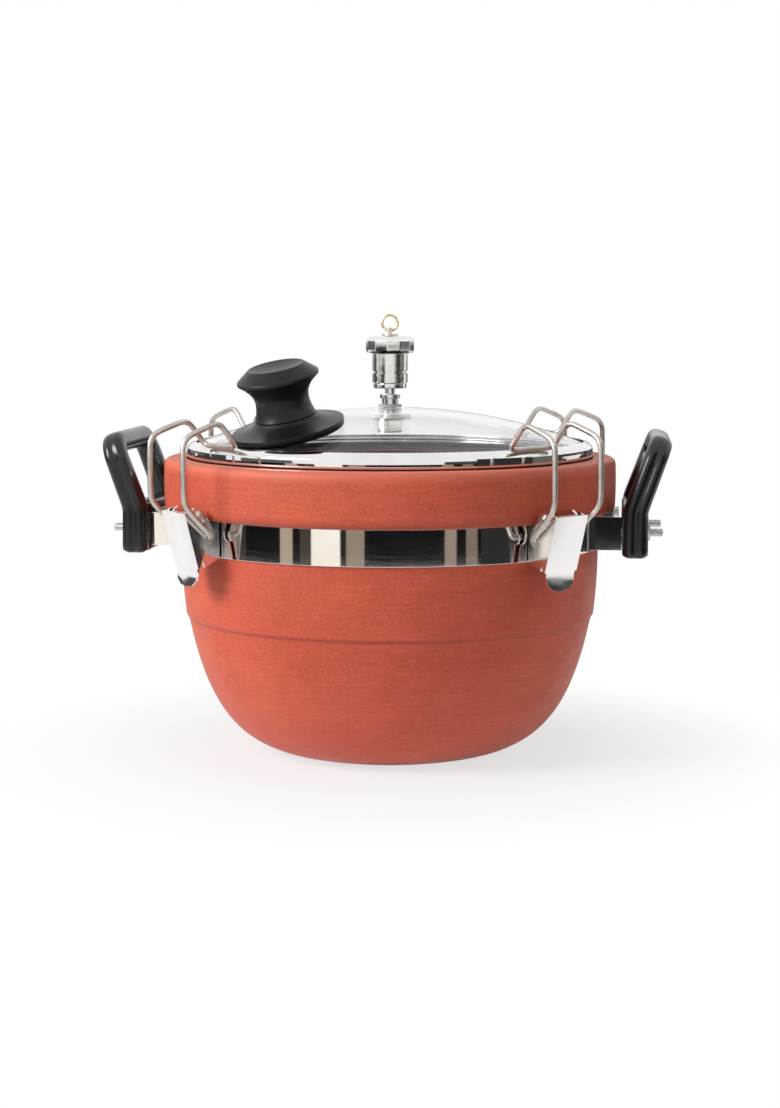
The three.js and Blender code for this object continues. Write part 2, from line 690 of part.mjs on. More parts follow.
// A steel strap bracket seen in plan: feet on the band, arms out to a flat front
function bracketOutline() {
  const seat = bandOuter + SEAT_GAP + BRACKET_SHEET / 2;
  const front = bracketFront - BRACKET_SHEET / 2;
  const corner = Math.asin(BRACKET_HALF_WIDTH / seat);
  const toe = corner + BRACKET_FOOT / seat;
  const onBand = (angle) => at(seat * Math.cos(angle), seat * Math.sin(angle));
  const half = [onBand(toe), onBand((toe + corner) / 2), onBand(corner), at(front, BRACKET_HALF_WIDTH)];
  const mirrored = half.map((p) => at(p.x, -p.y)).reverse();
  return new THREE.Shape(stripOutline([...half, ...mirrored], BRACKET_SHEET));
}

// A moulded loop handle: a bent bar, trimmed to its front outline and opened by a finger window
function handleGeometry() {
  const middle = handleInner + HANDLE_DEPTH / 2;
  const lean = Math.tan(radians(HANDLE_LEAN)) * (handleTop - handleElbow);
  const line = [at(middle, handleBottom), at(middle, handleElbow), at(middle + lean, handleTop)];
  const bar = sidePrism(new THREE.Shape(stripOutline(line, HANDLE_DEPTH)), HANDLE_WIDTH, HANDLE_BEVEL);
  const half = HANDLE_WIDTH / 2;
  const outline = roundedBox(-half, handleBottom, half, handleTop, HANDLE_FOOT_CORNER, HANDLE_CORNER);
  const reach = HANDLE_DEPTH + lean + 2 * CUT_MARGIN;
  const start = handleInner - CUT_MARGIN;
  const trimmed = overlap(bar, frontPrism(outline, reach).translate(start, 0, 0));
  const gap = half - LEG_WIDTH;
  const window = roundedBox(
    -gap, handleElbow + PLATE_RISE,
    gap, handleTop - TOP_BAR,
    WINDOW_CORNER, WINDOW_CORNER,
  );
  const recess = roundedBox(
    -gap, handleBottom + HANDLE_BEVEL,
    gap, handleElbow - HANDLE_BEVEL,
    HANDLE_FOOT_CORNER, HANDLE_FOOT_CORNER,
  );
  const recessFloor = handleInner + HANDLE_DEPTH - NUT_RECESS;
  const groove = new THREE.Shape(stripOutline(line, LEG_GROOVE));
  const grooves = [-1, 1].map((side) => sidePrism(groove, 2 * LEG_GROOVE_DEPTH)
    .translate(0, side * half, 0));
  const holes = [-1, 1].map((side) => rodX(BOLT_RADIUS + RUN_GAP, reach)
    .translate(start + reach / 2, side * BOLT_SPACING / 2, boltZ));
  return cut(
    trimmed,
    frontPrism(window, reach).translate(start, 0, 0),
    frontPrism(recess, reach).translate(recessFloor, 0, 0),
    ...grooves,
    ...holes,
  );
}

function addHandle(side, turn) {
  const group = new THREE.Group();
  group.rotation.z = turn;
  cooker.add(group);
  const height = BAND_HEIGHT - 2 * BRACKET_INSET;
  const bracket = planPrism(bracketOutline(), height).translate(0, 0, bandBottom + BRACKET_INSET);
  const slots = [-1, 1].map((end) => rodX(BOLT_RADIUS + RUN_GAP, BOLT_LENGTH)
    .translate(bracketFront, end * BOLT_SPACING / 2, boltZ));
  place(group, `handle_bracket_${side}`, 'polished_steel', cut(bracket, ...slots));
  place(group, `handle_${side}`, 'black_plastic', handleGeometry());

  const headFace = bracketFront - BRACKET_SHEET - SEAT_GAP;
  const bolt = [
    at(0, headFace - BOLT_HEAD_HEIGHT),
    at(BOLT_HEAD_RADIUS, headFace - BOLT_HEAD_HEIGHT),
    at(BOLT_HEAD_RADIUS, headFace),
    at(BOLT_RADIUS, headFace),
    at(BOLT_RADIUS, headFace + BOLT_LENGTH),
    at(0, headFace + BOLT_LENGTH),
  ];
  const nutFoot = handleInner + HANDLE_DEPTH - NUT_RECESS + SEAT_GAP;
  for (const [end, y] of [['near', -BOLT_SPACING / 2], ['far', BOLT_SPACING / 2]]) {
    const along = (geometry) => geometry.rotateY(Math.PI / 2).translate(0, y, boltZ);
    place(group, `handle_bolt_${side}_${end}`, 'satin_steel', along(revolve(bolt, SMALL_SIDES)));
    const nut = hexNut(NUT_ACROSS, NUT_HEIGHT, BOLT_RADIUS + RUN_GAP).translate(0, 0, nutFoot);
    place(group, `handle_nut_${side}_${end}`, 'satin_steel', along(nut));
  }
}

// A channel on the band whose two ears carry the lever's rivet outside the collar
function clampBase() {
  const back = bandOuter + SEAT_GAP;
  const ear = new THREE.Shape();
  ear.moveTo(back, bandBottom);
  ear.lineTo(back + EAR_REACH, bandBottom - EAR_DROP);
  ear.absarc(rivetX, rivetZ, EAR_ROUND, radians(EAR_ARC_START), radians(EAR_ARC_END), false);
  ear.lineTo(collarRadius - EAR_NOTCH, bandTop - SEAT_GAP);
  ear.lineTo(back, bandTop - SEAT_GAP);
  const channel = sidePrism(ear, EAR_SPAN);
  const hollow = new THREE.BoxGeometry(2 * COLLAR_HEIGHT, EAR_SPAN - 2 * BASE_SHEET, 2 * COLLAR_HEIGHT)
    .translate(back + BASE_SHEET + COLLAR_HEIGHT, 0, collarBottom);
  const hole = rodY(RIVET_RADIUS + RUN_GAP, EAR_SPAN + CUT_MARGIN).translate(rivetX, 0, rivetZ);
  return cut(channel, hollow, hole);
}

// A sheet channel with a tongue, in its own frame: the rivet at zero, the front plate upright
function clampLever() {
  const holeX = -WIRE_HOLE_BACK;
  const holeZ = -WIRE_HOLE_DROP;
  const wireHole = WIRE_RADIUS + RUN_GAP;
  const cheek = wireHole + WIRE_HOLE_MARGIN;
  const inside = LEVER_OFFSET - LEVER_SHEET;
  const outline = new THREE.Shape();
  outline.moveTo(LEVER_OFFSET, -LEVER_BELOW);
  outline.lineTo(LEVER_OFFSET, LEVER_ABOVE);
  outline.lineTo(0, KNUCKLE_RADIUS);
  outline.absarc(0, 0, KNUCKLE_RADIUS, Math.PI / 2, Math.PI, false);
  outline.absarc(holeX, holeZ, cheek, radians(CHEEK_ARC_START), radians(CHEEK_ARC_END), false);
  outline.lineTo(inside, -LEVER_BELOW);
  const channel = sidePrism(outline, LEVER_WIDTH);
  const deep = LEVER_ABOVE + LEVER_BELOW + CUT_MARGIN;
  const hollow = new THREE.BoxGeometry(LEVER_WIDTH, LEVER_WIDTH - 2 * LEVER_SHEET, 2 * deep)
    .translate(inside - LEVER_WIDTH / 2, 0, 0);

  const half = TONGUE_WIDTH / 2;
  const tongueFoot = TONGUE_LENGTH - TONGUE_STRAIGHT;
  const lip = new THREE.Shape();
  lip.moveTo(-half, 0);
  lip.quadraticCurveTo(-half, -tongueFoot, 0, -tongueFoot);
  lip.quadraticCurveTo(half, -tongueFoot, half, 0);
  const flare = frontPrism(lip, LEVER_SHEET)
    .translate(-LEVER_SHEET, 0, 0)
    .rotateY(-radians(TONGUE_FLARE))
    .translate(LEVER_OFFSET, 0, -LEVER_BELOW - TONGUE_STRAIGHT);
  const neck = new THREE.BoxGeometry(LEVER_SHEET, TONGUE_WIDTH, TONGUE_STRAIGHT + LEVER_SHEET)
    .translate(LEVER_OFFSET - LEVER_SHEET / 2, 0, -LEVER_BELOW - TONGUE_STRAIGHT / 2);
  const across = LEVER_WIDTH + CUT_MARGIN;
  return cut(
    join(cut(channel, hollow), neck, flare),
    rodY(RIVET_RADIUS + RUN_GAP, across),
    rodY(wireHole, across).translate(holeX, 0, holeZ),
  );
}

// One continuous wire: ends in the lever, legs outside the collar, crossbar on the lid's rim
function clampWire(pivot) {
  const legX = collarRadius + WIRE_STANDOFF;
  const barX = LID_RADIUS - CROSSBAR_INSET;
  const barZ = rimTop + SEAT_GAP + WIRE_RADIUS;
  const half = [
    [pivot.x, WIRE_END_SPAN, pivot.z],
    [pivot.x, WIRE_WAIST, pivot.z],
    [legX, WIRE_SPAN, pivot.z + WIRE_ELBOW_RISE],
    [legX, WIRE_SPAN, barZ + WIRE_SHOULDER_RISE],
    [barX + WIRE_ARCH_REACH, CROSSBAR_SPAN, barZ + WIRE_ARCH_RISE],
    [barX, CROSSBAR_SPAN, barZ],
  ];
  const side = (sign) => half.map(([x, span, z]) => new THREE.Vector3(x, sign * span / 2, z));
  const bends = [WIRE_END_BEND, WIRE_ELBOW_BEND, WIRE_SHOULDER_BEND, WIRE_ARCH_BEND, CROSSBAR_BEND];
  const corners = [...side(1), ...side(-1).reverse()];
  return rod(bendSamples(corners, [...bends, ...bends.slice().reverse()]), WIRE_RADIUS, WIRE_SIDES);
}

function clampRivet() {
  const shank = LEVER_WIDTH / 2 + SEAT_GAP / 2;
  const head = shank + RIVET_HEAD_HEIGHT;
  const profile = [
    at(0, -head),
    at(RIVET_HEAD_RADIUS / 2, -head),
    at(RIVET_HEAD_RADIUS, -shank),
    at(RIVET_RADIUS, -shank),
    at(RIVET_RADIUS, shank),
    at(RIVET_HEAD_RADIUS, shank),
    at(RIVET_HEAD_RADIUS / 2, head),
    at(0, head),
  ];
  return new THREE.LatheGeometry(profile, SMALL_SIDES);
}

function addClamp(corner, azimuth) {
  const group = new THREE.Group();
  group.rotation.z = radians(azimuth - 90);
  cooker.add(group);
  const pivot = new THREE.Vector3(-WIRE_HOLE_BACK, 0, -WIRE_HOLE_DROP)
    .applyAxisAngle(new THREE.Vector3(0, 1, 0), radians(LEVER_LEAN))
    .add(new THREE.Vector3(rivetX, 0, rivetZ));
  place(group, `clamp_base_${corner}`, 'polished_steel', clampBase());
  const lever = place(group, `clamp_lever_${corner}`, 'polished_steel', clampLever());
  lever.position.set(rivetX, 0, rivetZ);
  lever.rotation.y = radians(LEVER_LEAN);
  place(group, `clamp_wire_${corner}`, 'satin_steel', clampWire(pivot));
  place(group, `clamp_rivet_${corner}`, 'satin_steel', clampRivet()).position.set(rivetX, 0, rivetZ);
}

addPot();
addLid();
addWeight(addVent());
addKnob();
addHandle('right', 0);
addHandle('left', Math.PI);
addClamp('front_left', -CLAMP_AZIMUTH);
addClamp('front_right', CLAMP_AZIMUTH);
addClamp('back_right', 180 - CLAMP_AZIMUTH);
addClamp('back_left', CLAMP_AZIMUTH - 180);

export default cooker;
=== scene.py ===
import json
import math

import bmesh
import bpy
import numpy as np
from mathutils import Matrix, Vector


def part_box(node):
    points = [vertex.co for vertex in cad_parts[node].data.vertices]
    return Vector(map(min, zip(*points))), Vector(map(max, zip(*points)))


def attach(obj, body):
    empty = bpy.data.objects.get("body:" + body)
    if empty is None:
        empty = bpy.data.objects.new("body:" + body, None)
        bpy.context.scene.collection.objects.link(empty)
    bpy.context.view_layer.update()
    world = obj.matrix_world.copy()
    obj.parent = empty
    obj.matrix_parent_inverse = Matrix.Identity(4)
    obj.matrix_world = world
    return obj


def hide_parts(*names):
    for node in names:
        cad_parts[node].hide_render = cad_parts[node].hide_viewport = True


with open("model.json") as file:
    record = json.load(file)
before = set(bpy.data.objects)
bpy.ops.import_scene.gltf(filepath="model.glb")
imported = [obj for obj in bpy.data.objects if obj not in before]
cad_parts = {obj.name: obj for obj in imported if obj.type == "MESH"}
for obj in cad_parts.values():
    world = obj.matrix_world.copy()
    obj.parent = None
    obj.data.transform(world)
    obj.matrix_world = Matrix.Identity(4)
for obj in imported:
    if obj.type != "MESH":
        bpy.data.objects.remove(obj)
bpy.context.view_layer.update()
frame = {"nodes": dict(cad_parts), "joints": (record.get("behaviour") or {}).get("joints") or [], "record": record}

record = frame["record"]
MM = 0.001
CORNERS = ("front_left", "front_right", "back_right", "back_left")
SIDES = ("left", "right")
ENDS = ("near", "far")
BODY = {node: body for body, nodes in record["behaviour"]["bodies"].items() for node in nodes}
JOINT = {joint["child"]: joint for joint in frame["joints"]}

# The photograph's longer side, its lens in pixels, and where it was taken from
PHOTO_HEIGHT = 1108
FOCAL_PIXELS = 2097
SENSOR_MM = 36
CAMERA_DISTANCE = 1.25
CAMERA_AZIMUTH = 6
CAMERA_HEIGHT = 0.262
AIM_HEIGHT = 0.116

# Smoothness of the dressed pieces
LATHE_SIDES = 160
SMALL_SIDES = 56
CURVE_SPLIT = 6
CORNER_DEGREES = 24
TUBE_SIDES = 18
BEVEL_DEGREES = 28
FLAT_DEGREES = 1
STRAIGHT_TURN = 1e-3
CORNER_CUT = 0.25
WELD = 0.002 * MM
RING_TOLERANCE = 0.01 * MM

# Rounding of the edges
HOLE_EDGE = 0.12 * MM
FINE_EDGE = 0.2 * MM
SHEET_EDGE = 0.25 * MM
BRACKET_EDGE = 0.3 * MM
BAND_EDGE = 0.35 * MM
NUT_EDGE = 0.4 * MM
SOFT_EDGE = 0.5 * MM
SEAL_EDGE = 0.6 * MM
CLAY_EDGE = 0.8 * MM
GRIP_EDGE = 1.4 * MM

# Sizes of the details on the clay, wires, glass and rim
CLAY_WOBBLE = 0.22 * MM
WOBBLE_SIZE = 50 * MM
WIRE_RADIUS = 1.6 * MM
WIRE_ROUNDS = 1
RING_WIRE = 0.75 * MM
INSIDE_EDGE = 7 * MM
FOOT_HEIGHT = 5 * MM
# Height and reach of the painted shade in the groove round the belly
GROOVE_Z = 81.2 * MM
GROOVE_BLUR = 1.7 * MM
# Reach of the painted shade on the collar's lower edge, above and below the band's top
BAND_SHADE_ABOVE = 6.5 * MM
BAND_SHADE_BELOW = 1 * MM
# Reach of the painted highlight below the collar's top edge
TOP_HIGHLIGHT_REACH = 7 * MM
FOOT_DUST = 70 * MM
GLASS_STEPS = 40
RIM_EDGE_SHEET = 0.45 * MM
RIM_EDGE_GAP = 0.02 * MM
RIM_EDGE_LIFT = 0.6 * MM
RIM_EDGE_SAG = 0.18 * MM
RIM_EDGE_STEPS = 10

# The thread on the handle bolts
THREAD_PITCH = 0.8 * MM
THREAD_DEPTH = 0.42 * MM
THREAD_RUN = 12 * MM
THREAD_RINGS = 8
TIP_CHAMFER = 0.5 * MM
BOLT_SIDES = 40
SHARP_DEGREES = 60

# The moulded handles, with rounded and grooved legs
LEG_WIDTH = 14 * MM
TOP_BAR = 12.5 * MM
FOOT_DEPTH = 15 * MM
TIP_DEPTH = 13 * MM
ELBOW_RISE = 26.5 * MM
ELBOW_BEND = 4 * MM
HANDLE_LEAN = math.radians(20)
LOOP_CORNER = 10 * MM
FOOT_ROUND = 2.5 * MM
GROOVE_DEPTH = 1.5 * MM
GROOVE_WIDTH = 2 * MM
PLATE_DEPTH = 12 * MM
PLATE_RISE = 2 * MM
PLATE_OVERLAP = 2 * MM
SECTION_SIDES = 96
SECTION_SQUARENESS = 2.7
LOOP_STEP = 1.5 * MM
LOOP_CORNER_STEPS = 12
TOP_BAR_STEPS = 16
PLATE_EDGE_STEPS = 4


# Reading shapes from the frame

def welded(node):
    """A bmesh copy of a CAD node with its shared corners joined."""
    mesh = bmesh.new()
    mesh.from_mesh(frame["nodes"][node].data)
    bmesh.ops.remove_doubles(mesh, verts=mesh.verts, dist=WELD)
    return mesh


def symmetry_frame(node):
    """The frame whose Z runs along the axis that a turned node goes round."""
    mesh = welded(node)
    points = np.array([v.co for v in mesh.verts])
    mesh.free()
    centre = points.mean(0)
    spread, directions = np.linalg.eigh(np.cov((points - centre).T))
    lone = 2 if spread[2] - spread[1] > spread[1] - spread[0] else 0
    axis = Vector(directions[:, lone])
    if axis.z < 0:
        axis.negate()
    turn = Vector((0, 0, 1)).rotation_difference(axis).to_matrix().to_4x4()
    return Matrix.Translation(Vector(centre)) @ turn


def turned_profile(node, place):
    """The (radius, height) points of a turned node, in order, and whether they form a loop."""
    mesh = welded(node)
    mesh.transform(place.inverted())
    farthest = max(mesh.verts, key=lambda v: v.co.xy.length)
    ray = farthest.co.xy.normalized()

    def on_ray(vertex):
        flat = vertex.co.xy
        return flat.length < RING_TOLERANCE or (flat - ray * flat.length).length < RING_TOLERANCE

    steps = {}
    for edge in mesh.edges:
        one, other = edge.verts
        if on_ray(one) and on_ray(other):
            steps.setdefault(one, []).append(other)
            steps.setdefault(other, []).append(one)
    tips = [v for v in steps if len(steps[v]) == 1]
    walk = [min(tips or list(steps), key=lambda v: v.co.z)]
    while True:
        ahead = [v for v in steps[walk[-1]] if v not in walk]
        if not ahead:
            break
        walk.append(ahead[0])
    profile = [Vector((v.co.xy.length, v.co.z)) for v in walk]
    mesh.free()
    return profile, not tips


def rod_centres(node, joint):
    """Centres along a bent rod, found ring by ring from the end next to its hinge."""
    mesh = welded(node)
    origin, axis = Vector(joint["pos_m"]), Vector(joint["axis"])
    along = {v: (v.co - origin).dot(axis) for v in mesh.verts}
    nearest = min(d for d in along.values() if d > 0)
    ring = [v for v in mesh.verts if abs(along[v] - nearest) < RING_TOLERANCE]
    seen, centres = set(ring), []
    while ring:
        centres.append(sum((v.co for v in ring), Vector()) / len(ring))
        beside = [w for v in ring for e in v.link_edges for w in e.verts if w not in seen]
        ring = list(dict.fromkeys(beside))
        seen.update(ring)
    mesh.free()
    return centres


# Building meshes

def smooth_profile(profile, closed):
    """Rounds the stretches of a profile that turn gently, and keeps its corners."""
    count = len(profile)

    def direction(i, j):
        return (profile[j % count] - profile[i % count]).normalized()

    def tangents(i):
        if not closed and i in (0, count - 1):
            only = direction(0, 1) if i == 0 else direction(count - 2, count - 1)
            return only, only
        before, after = direction(i - 1, i), direction(i, i + 1)
        if before.angle(after) > math.radians(CORNER_DEGREES):
            return before, after
        middle = (before + after).normalized()
        return middle, middle

    points = []
    for i in range(count if closed else count - 1):
        start, end = profile[i], profile[(i + 1) % count]
        span = (end - start).length
        leave, arrive = tangents(i)[1] * span, tangents((i + 1) % count)[0] * span
        straight = leave.angle(end - start) + arrive.angle(end - start) < STRAIGHT_TURN
        for k in range(1 if straight else CURVE_SPLIT):
            t = k / CURVE_SPLIT
            points.append(start * (2 * t**3 - 3 * t**2 + 1) + leave * (t**3 - 2 * t**2 + t)
                          + end * (3 * t**2 - 2 * t**3) + arrive * (t**3 - t**2))
    return points if closed else [*points, profile[-1]]


def new_piece(name, mesh):
    """A smooth-shaded object from a bmesh."""
    bmesh.ops.recalc_face_normals(mesh, faces=mesh.faces)
    data = bpy.data.meshes.new(name)
    mesh.to_mesh(data)
    mesh.free()
    data.polygons.foreach_set("use_smooth", [True] * len(data.polygons))
    piece = bpy.data.objects.new(name, data)
    bpy.context.scene.collection.objects.link(piece)
    return piece


def revolve(name, profile, closed, sides, place=Matrix()):
    """A piece turned round Z from (radius, height) points, then put in place."""
    mesh = bmesh.new()
    turns = [2 * math.pi * k / sides for k in range(sides)]
    circle = [(math.cos(a), math.sin(a)) for a in turns]
    rings = []
    for point in profile:
        if point.x < RING_TOLERANCE:
            rings.append([mesh.verts.new((0, 0, point.y))] * sides)
        else:
            rings.append([mesh.verts.new((point.x * x, point.x * y, point.y)) for x, y in circle])
    for low, high in zip(rings, rings[1:] + rings[:1] if closed else rings[1:]):
        for k in range(sides):
            after = (k + 1) % sides
            corners = list(dict.fromkeys([low[k], low[after], high[after], high[k]]))
            if len(corners) > 2:
                mesh.faces.new(corners)
    mesh.transform(place)
    return new_piece(name, mesh)


def rounded_line(points, rounds):
    """Cuts the corners of an open line of points, keeping its ends."""
    for _ in range(rounds):
        cut = [points[0]]
        for one, other in zip(points, points[1:]):
            cut += [one.lerp(other, CORNER_CUT), one.lerp(other, 1 - CORNER_CUT)]
        points = [*cut, points[-1]]
    return points


def tube(name, points, radius, closed=False):
    """A round rod along a line of points."""
    count = len(points)

    def heading(i):
        if closed:
            return (points[(i + 1) % count] - points[i - 1]).normalized()
        return (points[min(i + 1, count - 1)] - points[max(i - 1, 0)]).normalized()

    mesh = bmesh.new()
    turns = [2 * math.pi * k / TUBE_SIDES for k in range(TUBE_SIDES)]
    across = heading(0).orthogonal().normalized()
    rings = []
    for i in range(count):
        ahead = heading(i)
        across = (across - ahead * across.dot(ahead)).normalized()
        up = ahead.cross(across)
        offsets = [(across * math.cos(a) + up * math.sin(a)) * radius for a in turns]
        rings.append([mesh.verts.new(points[i] + offset) for offset in offsets])
    for low, high in zip(rings, rings[1:] + rings[:1] if closed else rings[1:]):
        for k in range(TUBE_SIDES):
            after = (k + 1) % TUBE_SIDES
            mesh.faces.new([low[k], low[after], high[after], high[k]])
    if not closed:
        mesh.faces.new(rings[0])
        mesh.faces.new(rings[-1])
    return new_piece(name, mesh)


def soften_edges(piece, width, segments=3):
    """Rounds a piece's edges and keeps its flats flat in the shading."""
    bevel = piece.modifiers.new("edges", "BEVEL")
    bevel.width = width
    bevel.segments = segments
    bevel.limit_method = "ANGLE"
    bevel.angle_limit = math.radians(BEVEL_DEGREES)
    normals = piece.modifiers.new("normals", "WEIGHTED_NORMAL")
    normals.keep_sharp = True


def stand_for(piece, *nodes):
    """The piece replaces these nodes, and rides as they do."""
    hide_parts(*nodes)
    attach(piece, BODY[nodes[0]])
    return piece


def dress(piece, material):
    """Gives a piece one material."""
    piece.data.materials.clear()
    piece.data.materials.append(material)
    return piece


def turned(node, material, sides=SMALL_SIDES, edge=FINE_EDGE):
    """A smooth copy of a turned node."""
    place = symmetry_frame(node)
    profile, closed = turned_profile(node, place)
    piece = revolve(node + "_turned", smooth_profile(profile, closed), closed, sides, place)
    soften_edges(piece, edge)
    return dress(stand_for(piece, node), material)


def dressed_node(node, material, edge, segments=2):
    """A CAD node that keeps its shape, with its edges softened."""
    piece = frame["nodes"][node]
    weld = piece.modifiers.new("weld", "WELD")
    weld.merge_threshold = WELD
    flats = piece.modifiers.new("flats", "DECIMATE")
    flats.decimate_type = "DISSOLVE"
    flats.angle_limit = math.radians(FLAT_DEGREES)
    piece.data.polygons.foreach_set("use_smooth", [True] * len(piece.data.polygons))
    soften_edges(piece, edge, segments)
    dress(piece, material)


# Materials

class Finish:
    """A Principled material with a few helpers for its procedural detail."""

    def __init__(self, name, **uniform):
        self.material = bpy.data.materials.new(name)
        self.material.use_nodes = True
        self.tree = self.material.node_tree
        self.shader = self.tree.nodes["Principled BSDF"]
        for socket, value in uniform.items():
            self.shader.inputs[socket.replace("_", " ")].default_value = value
        self.place = self.add("ShaderNodeTexCoord").outputs["Object"]

    def add(self, kind, **settings):
        """A new node with these settings."""
        node = self.tree.nodes.new(kind)
        for key, value in settings.items():
            setattr(node, key, value)
        return node

    def join(self, output, socket):
        """Links an output to a socket."""
        self.tree.links.new(output, socket)

    def noise(self, scale, detail=3.0, stretch=(1, 1, 1), roughness=0.55):
        """Noise in the object's own space, with about scale lumps to a metre."""
        mapping = self.add("ShaderNodeMapping")
        mapping.inputs["Scale"].default_value = stretch
        self.join(self.place, mapping.inputs["Vector"])
        texture = self.add("ShaderNodeTexNoise")
        texture.inputs["Scale"].default_value = scale
        texture.inputs["Detail"].default_value = detail
        texture.inputs["Roughness"].default_value = roughness
        self.join(mapping.outputs["Vector"], texture.inputs["Vector"])
        return texture.outputs["Fac"]

    def ramp(self, fac, *stops):
        """Colours along a value, from (position, colour) stops."""
        node = self.add("ShaderNodeValToRGB")
        elements = node.color_ramp.elements
        while len(elements) < len(stops):
            elements.new(0.5)
        for element, (position, colour) in zip(elements, stops):
            element.position = position
            element.color = (*colour, 1)
        self.join(fac, node.inputs["Fac"])
        return node.outputs["Color"]

    def spread(self, fac, low, high, start=0.3, end=0.7):
        """A value that goes from low to high while fac goes from start to end."""
        node = self.add("ShaderNodeMapRange")
        node.inputs["From Min"].default_value = start
        node.inputs["From Max"].default_value = end
        node.inputs["To Min"].default_value = low
        node.inputs["To Max"].default_value = high
        self.join(fac, node.inputs["Value"])
        return node.outputs["Result"]

    def mix(self, fac, one, other):
        """One colour turning into another, each of them a socket or a fixed value."""
        node = self.add("ShaderNodeMix", data_type="RGBA")
        sockets = [s for s in node.inputs if s.type == "RGBA"]
        factor = [s for s in node.inputs if s.name == "Factor" and s.type == "VALUE"][0]
        for value, socket in ((fac, factor), (one, sockets[0]), (other, sockets[1])):
            if isinstance(value, bpy.types.NodeSocket):
                self.join(value, socket)
            else:
                socket.default_value = value if socket is factor else (*value, 1)
        return [s for s in node.outputs if s.type == "RGBA"][0]

    def bump(self, height, distance):
        """Surface relief of this depth, on top of any that is there already."""
        node = self.add("ShaderNodeBump")
        node.inputs["Distance"].default_value = distance
        node.inputs["Strength"].default_value = 1
        self.join(height, node.inputs["Height"])
        earlier = self.shader.inputs["Normal"].links
        if earlier:
            self.join(earlier[0].from_socket, node.inputs["Normal"])
        self.join(node.outputs["Normal"], self.shader.inputs["Normal"])

    def colour(self, output):
        """Takes the base colour from an output."""
        self.join(output, self.shader.inputs["Base Color"])

    def roughness(self, output):
        """Takes the roughness from an output."""
        self.join(output, self.shader.inputs["Roughness"])


# Colours of the clay
CLAY_DEEP = (0.5, 0.078, 0.04)
CLAY_RED = (0.6, 0.1, 0.054)
CLAY_PALE = (0.68, 0.13, 0.074)
CLAY_RING = (0.52, 0.082, 0.043)
CLAY_FIRED = (0.72, 0.125, 0.048)
CLAY_STAIN = (0.38, 0.066, 0.038)
CLAY_STROKE = (0.42, 0.068, 0.034)
CLAY_GRAIN = (0.74, 0.19, 0.12)
CLAY_SPECK = (0.3, 0.045, 0.026)
# Painted highlight at the collar's top edge
CLAY_PAINTED_HIGHLIGHT = (0.86, 0.24, 0.15)
CLAY_DUST = (0.78, 0.21, 0.15)
# Painted shade for the groove and for the collar just above the band
CLAY_PAINTED_SHADE = (0.26, 0.05, 0.032)


def terracotta():
    """Burnished red clay with rings, strokes, grains and fired patches, painted shade in the groove and just above
    the band, and a painted highlight at the collar's top.
    """
    clay = Finish("terracotta", Specular_IOR_Level=0.28)
    parts = clay.add("ShaderNodeSeparateXYZ")
    clay.join(clay.place, parts.inputs["Vector"])
    height = parts.outputs["Z"]

    def painted_shade_line(base, strength, z, below, above):
        """A soft line of painted shade round the pot at one height."""
        rise = clay.spread(height, 0, strength, z - below, z)
        fall = clay.spread(height, 1, 0, z, z + above)
        shade_amount = clay.add("ShaderNodeMath", operation="MULTIPLY")
        clay.join(rise, shade_amount.inputs[0])
        clay.join(fall, shade_amount.inputs[1])
        return clay.mix(shade_amount.outputs["Value"], base, CLAY_PAINTED_SHADE)

    collar_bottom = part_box("clamp_band")[1].z
    collar_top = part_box("clay_pot")[1].z
    patches = clay.noise(9, 4)
    rings = clay.noise(5, 5, stretch=(1, 1, 46))
    fire = clay.noise(16, 4, stretch=(1, 1, 2.5))
    strokes = clay.noise(70, 4, stretch=(1, 1, 11))
    grains = clay.noise(640, 3, roughness=0.65)
    smudges = clay.noise(26, 5, roughness=0.7)
    patchy = clay.ramp(patches, (0.3, CLAY_DEEP), (0.52, CLAY_RED), (0.72, CLAY_PALE))
    ringed = clay.mix(clay.spread(rings, 0, 0.5), patchy, CLAY_RING)
    fired = clay.mix(clay.spread(fire, 0, 0.6, 0.5, 0.7), ringed, CLAY_FIRED)
    stained = clay.mix(clay.spread(smudges, 0, 0.45, 0.52, 0.78), fired, CLAY_STAIN)
    wiped = clay.mix(clay.spread(strokes, 0, 0.42, 0.38, 0.68), stained, CLAY_STROKE)
    grainy = clay.mix(clay.spread(grains, 0, 0.34, 0.52, 0.75), wiped, CLAY_GRAIN)
    specked = clay.mix(clay.spread(grains, 0.4, 0, 0.25, 0.46), grainy, CLAY_SPECK)
    # Painted highlight: the clay turns paler towards the collar's top edge
    top_highlight = clay.spread(height, 0, 0.6, collar_top - TOP_HIGHLIGHT_REACH, collar_top)
    highlighted = clay.mix(top_highlight, specked, CLAY_PAINTED_HIGHLIGHT)
    dusty = clay.mix(clay.spread(height, 0.3, 0, 0, FOOT_DUST), highlighted, CLAY_DUST)
    # Painted shade: a dark line in the groove round the belly
    grooved = painted_shade_line(dusty, 0.5, GROOVE_Z, GROOVE_BLUR, GROOVE_BLUR)
    # Painted shade: the collar darkens towards its lower edge above the band
    clay.colour(painted_shade_line(grooved, 0.6, collar_bottom, BAND_SHADE_BELOW, BAND_SHADE_ABOVE))
    clay.roughness(clay.spread(smudges, 0.44, 0.62))
    clay.bump(rings, 0.25 * MM)
    clay.bump(grains, 0.05 * MM)
    return clay.material


def painted_shade_clay():
    """The pot's inside, painted near-black for the shade under the lid, with soft stains."""
    clay = Finish("painted_shade_clay", Specular_IOR_Level=0.3)
    stains = clay.noise(30, 5)
    # Painted shade: near-black colour for the inside under the lid
    clay.colour(clay.ramp(stains, (0.3, (0.011, 0.01, 0.01)), (0.7, (0.03, 0.026, 0.024))))
    clay.roughness(clay.spread(stains, 0.4, 0.6))
    clay.bump(clay.noise(700, 2), 0.05 * MM)
    return clay.material


